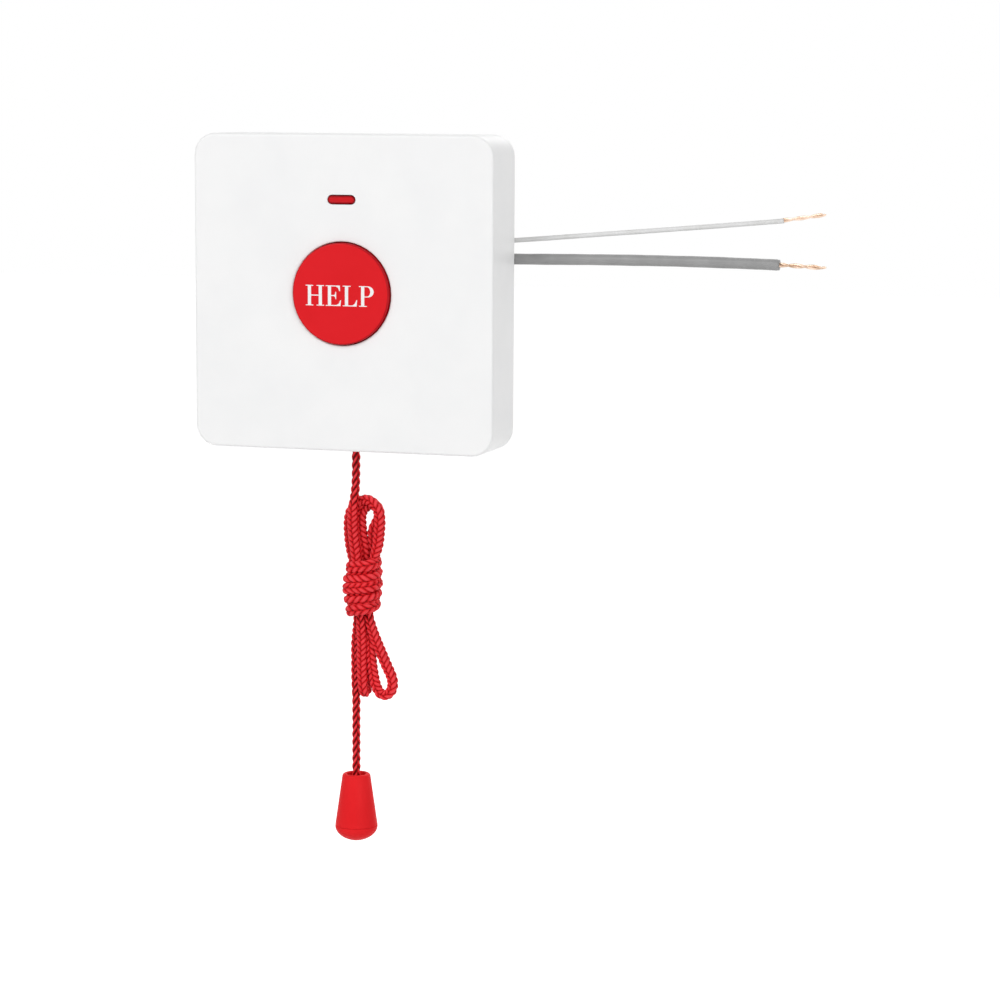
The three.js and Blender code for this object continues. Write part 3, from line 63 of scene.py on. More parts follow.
Colour = tuple[float, float, float]
Row = tuple[float, ...]
Socket = bpy.types.NodeSocket
Node = bpy.types.Node
Piece = bpy.types.Object
Material = bpy.types.Material

CHORD_POWER = 0.6
FINE_STEPS = 60
MERGE_DISTANCE, FLAT_DISTANCE = 1e-6, 1e-7
SMOOTH_ANGLE = 28
BUTTON_RADIUS = 13.85 * MM


class Body(str, Enum):
    """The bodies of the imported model."""

    HOUSING = "housing"
    BUTTON = "call_button"
    CORD = "pull_cord"


class Slot(str, Enum):
    """The record's material slots that new pieces take."""

    COVER = "cover_plastic"
    BASE = "base_plastic"
    NYLON = "nylon"
    LENS = "red_lens"
    BUTTON = "red_button"
    KNOB = "red_knob"
    BRAID = "red_braid"
    GREY = "grey_jacket"
    WHITE = "white_jacket"
    COPPER = "copper"
    SPRING = "spring_steel"


# Materials


@dataclass(frozen=True)
class Pill:
    """An outline seen along Y: a level line of points with a radius around it."""

    centre: Colour
    half: float
    radius: float

    FRONT_DEPTH = 0.5 * MM

    @classmethod
    def around(cls, node: str, half: float, radius: float) -> "Pill":
        """An outline about the middle of a CAD node's front.

        Args:
            node: the node.
            half: half the length of the level line.
            radius: the radius about it.

        Returns:
            The outline.
        """
        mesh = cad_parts[node].data
        points = np.empty(3 * len(mesh.vertices))
        mesh.vertices.foreach_get("co", points)
        points = points.reshape(-1, 3)
        front = points[points[:, 1] < points[:, 1].min() + cls.FRONT_DEPTH]
        return cls(tuple(((front.min(0) + front.max(0)) / 2).tolist()), half, radius)


class Graph:
    """The nodes of one material, with short ways to add the usual ones."""

    def __init__(self, name: str) -> None:
        """Makes an empty material with one shader.

        Args:
            name: the material's name.
        """
        self.material = bpy.data.materials.new(name)
        self.material.use_nodes = True
        self.tree = self.material.node_tree
        self.tree.nodes.clear()
        self.shader = self.tree.nodes.new("ShaderNodeBsdfPrincipled")
        output = self.tree.nodes.new("ShaderNodeOutputMaterial")
        self.link(self.shader.outputs["BSDF"], output.inputs["Surface"])

    def link(self, source: Socket, target: Socket) -> None:
        """Joins two sockets."""
        self.tree.links.new(source, target)

    def add(self, kind: str, inputs: dict | None = None, **settings: object) -> Node:
        """Adds one node.

        Args:
            kind: the node's type without the word ShaderNode.
            inputs: a value or a socket for each named or numbered input.
            settings: the node's own settings.

        Returns:
            The node.
        """
        node = self.tree.nodes.new("ShaderNode" + kind)
        for key, value in settings.items():
            setattr(node, key, value)
        for key, value in (inputs or {}).items():
            if isinstance(value, Socket):
                self.link(value, node.inputs[key])
            else:
                node.inputs[key].default_value = value
        return node

    def place(self, scale: Colour = (1, 1, 1)) -> Socket:
        """The point on the object in metres, each axis times its scale."""
        point = self.add("TexCoord").outputs["Object"]
        return self.add("Mapping", {"Vector": point, "Scale": scale}).outputs["Vector"]

    def vector(self, how: str, a: Socket | Colour, b: Socket | Colour) -> Socket:
        """Joins two vectors in the named way."""
        return self.add("VectorMath", {0: a, 1: b}, operation=how).outputs["Vector"]

    def inside(self, pill: Pill, edge: float, soft: float) -> Socket:
        """How near the point is to a pill's rim, seen along Y, as the mask of a painted shade round its edge.

        Args:
            pill: the outline.
            edge: how far inside the outline the rim is full.
            soft: how far it takes to fade.

        Returns:
            0 in the middle and 1 on the rim.
        """
        flat = self.vector("MULTIPLY", self.vector("SUBTRACT", self.place(), pill.centre), (1, 0, 1))
        near = self.vector("MINIMUM", self.vector("MAXIMUM", flat, (-pill.half, 0, 0)), (pill.half, 0, 0))
        distance = self.add("VectorMath", {0: flat, 1: near}, operation="DISTANCE").outputs["Value"]
        full = pill.radius - edge
        fade = {"Value": distance, "From Min": full - soft, "From Max": full}
        return self.add("MapRange", fade).outputs["Result"]

    def noise(self, size: float, detail: float = 2, where: Socket | None = None) -> Socket:
        """Soft noise.

        Args:
            size: the size of its spots in metres, or in units of where.
            detail: how many finer layers it has.
            where: the coordinates, the object's own by default.

        Returns:
            A value from 0 to 1.
        """
        inputs = {"Vector": where or self.place(), "Scale": 1 / size, "Detail": detail}
        return self.add("TexNoise", inputs).outputs["Fac"]

    def ramp(self, value: Socket, *stops: tuple[float, Colour | float]) -> Socket:
        """Turns a value into a colour by stops, each a place and a colour or a grey."""
        node = self.add("ValToRGB", {"Fac": value})
        elements = node.color_ramp.elements
        while len(elements) < len(stops):
            elements.new(1)
        for element, (at, colour) in zip(elements, stops):
            element.position = at
            rgb = (colour,) * 3 if isinstance(colour, (int, float)) else colour
            element.color = (*rgb, 1)
        return node.outputs["Color"]

    def mix(self, factor: Socket | float, a: Socket | Colour, b: Socket | Colour, how: str = "MIX") -> Socket:
        """Mixes two colours.

        Args:
            factor: how much of b there is.
            a: the first colour.
            b: the second colour.
            how: the way of mixing.

        Returns:
            The mixed colour.
        """
        node = self.add("Mix", data_type="RGBA", blend_type=how)
        for index, value in ((0, factor), (6, a), (7, b)):
            if isinstance(value, Socket):
                self.link(value, node.inputs[index])
            elif index:
                node.inputs[index].default_value = (*value, 1)
            else:
                node.inputs[index].default_value = value
        return node.outputs[2]

    def bump(self, height: Socket, depth: float, below: Socket | None = None) -> Socket:
        """Raises the surface by a height of 0 to 1.

        Args:
            height: the height.
            depth: how many metres a height of 1 stands for.
            below: the bump that this one lies on.

        Returns:
            The bent normal.
        """
        inputs = {"Height": height, "Strength": 1, "Distance": depth}
        if below is not None:
            inputs["Normal"] = below
        return self.add("Bump", inputs).outputs["Normal"]

    def finish(self, colour: Socket | Colour, roughness: Socket | float, normal: Socket | None = None,
               **sockets: float) -> Material:
        """Fills in the shader.

        Args:
            colour: the base colour.
            roughness: the roughness.
            normal: the bent normal.
            sockets: the shader's other sockets, with _ for a space.

        Returns:
            The material.
        """
        values = {"Base Color": colour, "Roughness": roughness}
        values.update({key.replace("_", " "): value for key, value in sockets.items()})
        if normal is not None:
            values["Normal"] = normal
        for key, value in values.items():
            target = self.shader.inputs[key]
            if isinstance(value, Socket):
                self.link(value, target)
            else:
                target.default_value = (*value, 1) if isinstance(value, tuple) else value
        return self.material


@dataclass(frozen=True)
class MouldedPlastic:
    """Injection moulded plastic: a fine spark-eroded grain, faint clouding and handling marks."""

    name: str
    colour: Colour
    clouded: Colour
    roughness: float = 0.42
    grain: float = 0.35 * MM
    grain_depth: float = 0.006 * MM
    specular: float = 0.5
    outline: Pill | None = None
    # The colour, width and fade of a painted shade round the edge inside the outline
    rim_shade: Colour = (0.46, 0.0, 0.006)
    rim_shade_width: float = 0.2 * MM
    rim_shade_fade: float = 0.25 * MM
    cloud_size: float = 14 * MM
    smudge_size: float = 5 * MM
    smudging: float = 0.12
    ripple_size: float = 9 * MM
    ripple_depth: float = 0.02 * MM

    def build(self) -> Material:
        """The material, with a painted shade round its edge where it is given an outline."""
        graph = Graph(self.name)
        clouds = graph.noise(self.cloud_size, 3)
        colour = graph.mix(graph.ramp(clouds, (0.35, 0), (0.7, 1)), self.colour, self.clouded)
        if self.outline:
            # Painted shade round the edge, inside the outline
            colour = graph.mix(graph.inside(self.outline, self.rim_shade_width, self.rim_shade_fade), colour, self.rim_shade)
        smudges = graph.noise(self.smudge_size, 5)
        low, high = self.roughness * (1 - self.smudging), self.roughness * (1 + self.smudging)
        roughness = graph.ramp(smudges, (0.3, low), (0.7, high))
        normal = graph.bump(graph.noise(self.grain, 2), self.grain_depth)
        ripple = graph.bump(graph.noise(self.ripple_size, 1), self.ripple_depth, normal)
        return graph.finish(colour, roughness, ripple, Specular_IOR_Level=self.specular)


@dataclass(frozen=True)
class ClearRed:
    """Clear red acrylic with a frosted back and a painted shade round its edge."""

    name: str = "red_acrylic"
    colour: Colour = (0.64, 0.012, 0.018)
    deep: Colour = (0.56, 0.008, 0.013)
    # The colour of a painted shade round the lens's edge, with its width and fade below
    rim_shade: Colour = (0.26, 0.0, 0.003)
    half: float = 2.775 * MM
    radius: float = 1.125 * MM
    rim_shade_width: float = 0.1 * MM
    rim_shade_fade: float = 0.55 * MM

    def build(self) -> Material:
        """The material, with a painted shade round its edge that follows the lens's outline."""
        graph = Graph(self.name)
        clouds = graph.ramp(graph.noise(2.5 * MM, 2), (0.35, 0), (0.7, 1))
        # Painted shade round the edge of the lens, inside its outline
        rim_shade = graph.inside(Pill.around("light_pipe", self.half, self.radius), self.rim_shade_width, self.rim_shade_fade)
        colour = graph.mix(rim_shade, graph.mix(clouds, self.colour, self.deep), self.rim_shade)
        roughness = graph.ramp(graph.noise(1.5 * MM, 3), (0.3, 0.1), (0.7, 0.2))
        normal = graph.bump(graph.noise(0.8 * MM, 1), 0.004 * MM)
        return graph.finish(colour, roughness, normal, Specular_IOR_Level=0.1)


@dataclass(frozen=True)
class BraidedYarn:
    """Polyester braid: painted shade between the yarns and a painted highlight on their crowns, with fibres
    along each yarn.
    """

    name: str
    # crown is a painted highlight, crease a painted shade and flank the yarn's own red
    crown: Colour = (1.0, 0.065, 0.08)
    flank: Colour = (0.8, 0.009, 0.014)
    crease_shade: Colour = (0.13, 0.0, 0.001)
    fibre_stretch: Colour = (7, 0.9, 1)
    fibre_depth: float = 0.09 * MM
    fuzz_size: float = 0.12 * MM
    fuzz_depth: float = 0.02 * MM
    worn_size: float = 18 * MM

    def build(self) -> Material:
        """The material, which reads the attribute yarn_height and the UV map yarn."""
        graph = Graph(self.name)
        height = graph.add("Attribute", attribute_name="yarn_height").outputs["Fac"]
        uv = graph.add("UVMap", uv_map="yarn").outputs["UV"]
        # Painted shade in the creases and a painted highlight on the crowns, by the yarn's height
        colour = graph.ramp(height, (0.15, self.crease_shade), (0.52, self.flank), (0.95, self.crown))
        lay = graph.add("Mapping", {"Vector": uv, "Scale": self.fibre_stretch}).outputs["Vector"]
        fibres = graph.noise(1, 3, lay)
        shade = graph.ramp(fibres, (0.3, 0.82), (0.68, 1))
        colour = graph.mix(1.0, colour, shade, "MULTIPLY")
        worn = graph.ramp(graph.noise(self.worn_size, 2), (0.35, 0.9), (0.7, 1))
        colour = graph.mix(1.0, colour, worn, "MULTIPLY")
        fuzz = graph.bump(graph.noise(self.fuzz_size, 2), self.fuzz_depth)
        normal = graph.bump(fibres, self.fibre_depth, fuzz)
        roughness = graph.ramp(fibres, (0.3, 0.62), (0.7, 0.46))
        return graph.finish(colour, roughness, normal, Specular_IOR_Level=0.1)


@dataclass(frozen=True)
class CableSheath:
    """Soft PVC insulation, slightly uneven from its extrusion, with dust on it."""

    name: str
    colour: Colour
    dusty: Colour
    roughness: float = 0.42
    dust_size: float = 4 * MM
    streaks: Colour = (60, 1500, 1500)
    streak_depth: float = 0.012 * MM
    swell_size: float = 6 * MM
    swell_depth: float = 0.06 * MM

    def build(self) -> Material:
        """The material."""
        graph = Graph(self.name)
        dust = graph.ramp(graph.noise(self.dust_size, 5), (0.42, 0), (0.72, 1))
        colour = graph.mix(dust, self.colour, self.dusty)
        streaks = graph.noise(1, 3, graph.place(self.streaks))
        roughness = graph.ramp(streaks, (0.3, self.roughness * 0.85), (0.7, self.roughness * 1.2))
        swell = graph.bump(graph.noise(self.swell_size, 1), self.swell_depth)
        normal = graph.bump(streaks, self.streak_depth, swell)
        return graph.finish(colour, roughness, normal, Specular_IOR_Level=0.4)


@dataclass(frozen=True)
class Metal:
    """Plated or drawn metal with fine marks along one direction and faint stains."""

    name: str
    colour: Colour
    stained: Colour
    roughness: float = 0.3
    lines: Colour = (300, 4000, 4000)

    def build(self) -> Material:
        """The material."""
        graph = Graph(self.name)
        stain = graph.ramp(graph.noise(1.6 * MM, 4), (0.4, 0), (0.75, 1))
        colour = graph.mix(stain, self.colour, self.stained)
        marks = graph.noise(1, 3, graph.place(self.lines))
        roughness = graph.ramp(marks, (0.3, self.roughness * 0.75), (0.7, self.roughness * 1.3))
        return graph.finish(colour, roughness, graph.bump(marks, 0.006 * MM), Metallic=1.0)


@dataclass(frozen=True)
class SolderResist:
    """Green lacquer over copper tracks on a glass laminate."""

    name: str = "solder_resist"
    lacquer: Colour = (0.012, 0.11, 0.035)
    over_copper: Colour = (0.03, 0.2, 0.06)

    def build(self) -> Material:
        """The material."""
        graph = Graph(self.name)
        cells = graph.add("TexVoronoi", {"Vector": graph.place(), "Scale": 220}, feature="DISTANCE_TO_EDGE")
        tracks = graph.ramp(cells.outputs["Distance"], (0.05, 1), (0.08, 0))
        colour = graph.mix(tracks, self.lacquer, self.over_copper)
        weave = graph.noise(0.5 * MM, 2)
        normal = graph.bump(weave, 0.006 * MM, graph.bump(tracks, 0.03 * MM))
        return graph.finish(colour, graph.ramp(weave, (0.3, 0.26), (0.7, 0.36)), normal)


# Shapes


def add_mesh(name: str, points: np.ndarray, faces: list[np.ndarray], smooth: bool = True) -> Piece:
    """Puts arrays of points and faces into a new object.

    Args:
        name: the piece's name.
        points: one row a vertex, in metres.
        faces: arrays of vertex numbers, each array with one length of face.
        smooth: whether the faces are shaded smooth.

    Returns:
        The object, with its mesh in place at the origin.
    """
    mesh = bpy.data.meshes.new(name)
    mesh.vertices.add(len(points))
    mesh.vertices.foreach_set("co", points.astype(np.float32).ravel())
    corners = np.concatenate([f.ravel() for f in faces])
    counts = np.concatenate([np.full(len(f), f.shape[1]) for f in faces])
    mesh.loops.add(len(corners))
    mesh.loops.foreach_set("vertex_index", corners.astype(np.int32))
    mesh.polygons.add(len(counts))
    mesh.polygons.foreach_set("loop_start", (np.cumsum(counts) - counts).astype(np.int32))
    mesh.polygons.foreach_set("use_smooth", np.full(len(counts), smooth))
    mesh.update(calc_edges=True)
    mesh.validate()
    piece = bpy.data.objects.new(name, mesh)
    bpy.context.scene.collection.objects.link(piece)
    return piece


def ring_quads(rings: int, sides: int) -> np.ndarray:
    """The quads between rings of points, each ring closed on itself.

    Args:
        rings: how many rings follow each other.
        sides: how many points a ring has.

    Returns:
        One row a quad: points j and j + 1 of a ring, then j + 1 and j of the next.
    """
    i, j = np.meshgrid(np.arange(rings - 1), np.arange(sides), indexing="ij")
    near, far = i * sides + j, i * sides + (j + 1) % sides
    return np.stack([near, far, far + sides, near + sides], -1).reshape(-1, 4)


def spline(controls: np.ndarray, step: float) -> np.ndarray:
    """A natural cubic spline through control rows, at even steps of its length.

    The second derivatives M solve the usual three-term system over knots that are each chord's length to the
    power CHORD_POWER apart, and each span is (1 - u) P + u Q plus the cubic terms of M.

    Args:
        controls: one row a control, x, y, z and then any other measures.
        step: the distance between the points made, in the controls' own unit.

    Returns:
        One row a point, with the controls' columns.
    """
    chords = np.linalg.norm(np.diff(controls[:, :3], axis=0), axis=1)
    spans = chords ** CHORD_POWER
    knots = np.concatenate([[0], np.cumsum(spans)])
    count = len(controls)
    system, right = np.eye(count), np.zeros(controls.shape)
    inner = np.arange(1, count - 1)
    system[inner, inner - 1] = spans[:-1]
    system[inner, inner] = 2 * (spans[:-1] + spans[1:])
    system[inner, inner + 1] = spans[1:]
    slopes = np.diff(controls, axis=0) / spans[:, None]
    right[inner] = 6 * np.diff(slopes, axis=0)
    bends = np.linalg.solve(system, right)
    fine = np.linspace(0, knots[-1], count * FINE_STEPS)
    span = np.clip(np.searchsorted(knots, fine, side="right") - 1, 0, count - 2)
    h = spans[span][:, None]
    u = (fine[:, None] - knots[span][:, None]) / h
    line = (1 - u) * controls[span] + u * controls[span + 1] + h * h / 6 * (
        ((1 - u) ** 3 - (1 - u)) * bends[span] + (u ** 3 - u) * bends[span + 1])
    along = np.concatenate([[0], np.cumsum(np.linalg.norm(np.diff(line[:, :3], axis=0), axis=1))])
    even = np.linspace(0, along[-1], max(2, int(round(along[-1] / step)) + 1))
    return np.stack([np.interp(even, along, column) for column in line.T], -1)


def carried_frames(line: np.ndarray, first: Colour) -> tuple[np.ndarray, np.ndarray, np.ndarray]:
    """Tangents and two side directions that don't twist about a line.

    Args:
        line: one row a point.
        first: the direction that the first side points in.

    Returns:
        The tangents, the first sides and the second sides, tangent cross first side.
    """
    tangents = np.gradient(line, axis=0)
    tangents /= np.linalg.norm(tangents, axis=1)[:, None]
    sides = np.empty_like(line)
    side = np.array(first, float)
    for n, tangent in enumerate(tangents):
        side = side - tangent * (side @ tangent)
        side /= np.linalg.norm(side)
        sides[n] = side
    return tangents, sides, np.cross(tangents, sides)


def skin(line: np.ndarray, side: np.ndarray, other: np.ndarray,
         reach: np.ndarray) -> tuple[np.ndarray, list[np.ndarray]]:
    """A closed tube: centre + reach (cos a side + sin a other side), with a pole at each end.

    Args:
        line: the centres of its rings.
        side: the first side of each ring.
        other: the second side of each ring.
        reach: one row a ring, the distance of each of its points from its centre.

    Returns:
        Its points and its faces.
    """
    sides = reach.shape[1]
    angle = np.linspace(0, 2 * math.pi, sides, endpoint=False)
    ring = np.cos(angle)[None, :, None] * side[:, None] + np.sin(angle)[None, :, None] * other[:, None]
    points = (line[:, None] + reach[..., None] * ring).reshape(-1, 3)
    count = len(points)
    last = count - sides
    j = np.arange(sides)
    start = np.stack([np.full(sides, count), (j + 1) % sides, j], -1)
    end = np.stack([np.full(sides, count + 1), last + j, last + (j + 1) % sides], -1)
    return np.concatenate([points, line[:1], line[-1:]]), [ring_quads(len(line), sides), start, end]


def tube(line: np.ndarray, radius: np.ndarray, sides: int) -> tuple[np.ndarray, list[np.ndarray]]:
    """A closed round tube.

    Args:
        line: the centres of its rings.
        radius: one radius for each ring.
        sides: how many points a ring has.

    Returns:
        Its points and its faces.
    """
    _, side, other = carried_frames(line, (0, -1, 0))
    return skin(line, side, other, np.broadcast_to(radius[:, None], (len(line), sides)))


def lathe(name: str, profile: np.ndarray, centre: tuple[float, float], sides: int) -> Piece:
    """Turns a profile about an upright line: (r cos a, r sin a, z) about the centre.

    Args:
        name: the piece's name.
        profile: rows of radius and height, going round its closed section anticlockwise, or from
            the axis to the axis.
        centre: x and y of the line.
        sides: how many points a ring has.

    Returns:
        The object.
    """
    angle = np.linspace(0, 2 * math.pi, sides, endpoint=False)
    x = centre[0] + profile[:, :1] * np.cos(angle)
    y = centre[1] + profile[:, :1] * np.sin(angle)
    z = np.broadcast_to(profile[:, 1:], x.shape)
    return add_mesh(name, np.stack([x, y, z], -1).reshape(-1, 3), [ring_quads(len(profile), sides)])


def rounded(corners: list[tuple[float, float, float]], steps: int = 8) -> np.ndarray:
    """An open outline with rounded corners.

    Args:
        corners: rows of two coordinates and the radius there.
        steps: how many steps a round has.

    Returns:
        The outline's points.
    """
    table = np.array(corners, float)
    made = [table[:1, :2]]
    for before, here, after in zip(table[:-2], table[1:-1], table[2:]):
        back, on = before[:2] - here[:2], after[:2] - here[:2]
        back, on = back / np.linalg.norm(back), on / np.linalg.norm(on)
        half = math.acos(max(-1.0, min(1.0, float(back @ on)))) / 2
        if here[2] <= 0:
            made.append(here[None, :2])
            continue
        reach = here[2] / math.tan(half)
        middle = here[:2] + (back + on) / np.linalg.norm(back + on) * here[2] / math.sin(half)
        start, stop = here[:2] + back * reach - middle, here[:2] + on * reach - middle
        turn = math.atan2(start[0] * stop[1] - start[1] * stop[0], float(start @ stop))
        angle = math.atan2(start[1], start[0]) + np.linspace(0, turn, steps + 1)
        made.append(middle + here[2] * np.stack([np.cos(angle), np.sin(angle)], -1))
    made.append(table[-1:, :2])
    return np.concatenate(made)


def dress(piece: Piece, material: Material) -> None:
    """Gives a piece or a CAD node one material in all its slots."""
    if not piece.material_slots:
        piece.data.materials.append(material)
    for slot in piece.material_slots:
        slot.material = material


def settle(piece: Piece, body: Body, slot: Slot, material: Material, *nodes: str) -> None:
    """Finishes and reports a new piece.

    Args:
        piece: the piece.
        body: the body that it rides on.
        slot: the record's slot that it takes its finish from; not used.
        material: its material.
        nodes: the CAD nodes that it stands for.
    """
    dress(piece, material)
    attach(piece, body.value)
    if nodes:
        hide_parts(*nodes)
    log.info("%s, %d faces, on %s", piece.name, len(piece.data.polygons), body.value)


# The pull cord


@dataclass
class BraidedCord:
    """A round braid of four columns of yarns, whose slant changes from one column to the next.

    A yarn has the height (1 - 0.6 |t|^3) |sin(pi p)|^n, where t runs from -1 to 1 across its
    column and p = q +- slant t / 2 + half a step in every second column. q is the sum of the
    lengths over the pitch. The cord is thin, with long yarns and wide creases, where it is taut.
    """

    slack_pitch: float = 1.55 * MM
    taut_pitch: float = 2.3 * MM
    slack_power: float = 0.6
    # The taut cord's higher power widens its creases in shape, and with them the braid's painted crease shade,
    # so it reads darker
    taut_power: float = 2.0
    slack_radius: float = 1.4 * MM
    taut_radius: float = 1.15 * MM
    slant: float = 1.0
    relief: float = 0.36
    columns: int = 4
    cells: int = 10
    ring_step: float = 0.21 * MM
    flattening: float = 0.6
    sunk: float = 0.8

    def build(self, name: str, controls: np.ndarray,
              first: Colour = (0, -1, 0)) -> tuple[Piece, np.ndarray]:
        """Makes the braid.

        Args:
            name: the piece's name.
            controls: rows of x, y, z, radius in millimetres and twist in degrees.
            first: the direction of the first side.

        Returns:
            The object and the centres of its rings.
        """
        rows = spline(controls, self.ring_step / MM)
        line, radius, twist = rows[:, :3] * MM, rows[:, 3] * MM, np.radians(rows[:, 4])
        sides = self.columns * self.cells
        slack = np.clip((radius - self.taut_radius) / (self.slack_radius - self.taut_radius), 0, 1)
        pitch = self.taut_pitch + (self.slack_pitch - self.taut_pitch) * slack
        along = np.arange(len(line)) * np.linalg.norm(line[1] - line[0])
        passed = np.concatenate([[0], np.cumsum(np.diff(along) / pitch[1:])])
        power = (self.taut_power + (self.slack_power - self.taut_power) * slack)[:, None]
        _, side, other = carried_frames(line, first)
        cosine, sine = np.cos(twist)[:, None], np.sin(twist)[:, None]
        turned = side * cosine + other * sine
        column, across = np.divmod(np.arange(sides), self.cells)
        t = 2 * across / self.cells - 1
        height = self.crown(self.phase(passed[:, None], column[None], t[None]), t[None], power)
        reach = radius[:, None] * (1 - self.sunk * self.relief + self.relief * height)
        across_both = np.cross(np.gradient(line, axis=0), turned)
        across_both /= np.linalg.norm(across_both, axis=1)[:, None]
        piece = add_mesh(name, *skin(line, turned, across_both, reach))
        self.add_fields(piece, passed, height)
        return piece, line

    def phase(self, passed: np.ndarray, column: np.ndarray, t: np.ndarray) -> np.ndarray:
        """How many yarns have passed: q +- slant t / 2 + half a step in odd columns."""
        odd = column % 2
        return passed + (1 - 2 * odd) * self.slant * t / 2 + 0.5 * odd

    def crown(self, phase: np.ndarray, t: np.ndarray, power: np.ndarray) -> np.ndarray:
        """A yarn's height, 0 in the creases and 1 on the crown."""
        return (1 - self.flattening * np.abs(t) ** 3) * np.abs(np.sin(np.pi * phase)) ** power

    def add_fields(self, piece: Piece, passed: np.ndarray, height: np.ndarray) -> None:
        """Stores the yarn's height at each point, and its phase and place across as the UV map.

        Args:
            piece: the braid.
            passed: the yarns passed up to each ring.
            height: the height of each ring's points.
        """
        mesh = piece.data
        values = np.concatenate([height.ravel(), [0, 0]]).astype(np.float32)
        # The braid's material paints shade in the creases and a highlight on the crowns by this height
        mesh.attributes.new("yarn_height", "FLOAT", "POINT").data.foreach_set("value", values)
        sides = height.shape[1]
        i, j = np.meshgrid(np.arange(len(passed) - 1), np.arange(sides), indexing="ij")
        column, across = np.divmod(j, self.cells)
        corners = []
        for ahead, right in ((0, 0), (0, 1), (1, 1), (1, 0)):
            t = 2 * (across + right) / self.cells - 1
            corners.append(np.stack([self.phase(passed[i + ahead], column, t), t + 3 * column], -1))
        uv = np.zeros((len(mesh.loops), 2), np.float32)
        quads = np.stack(corners, 2).reshape(-1, 2)
        uv[: len(quads)] = quads
        mesh.uv_layers.new(name="yarn").data.foreach_set("uv", uv.ravel())


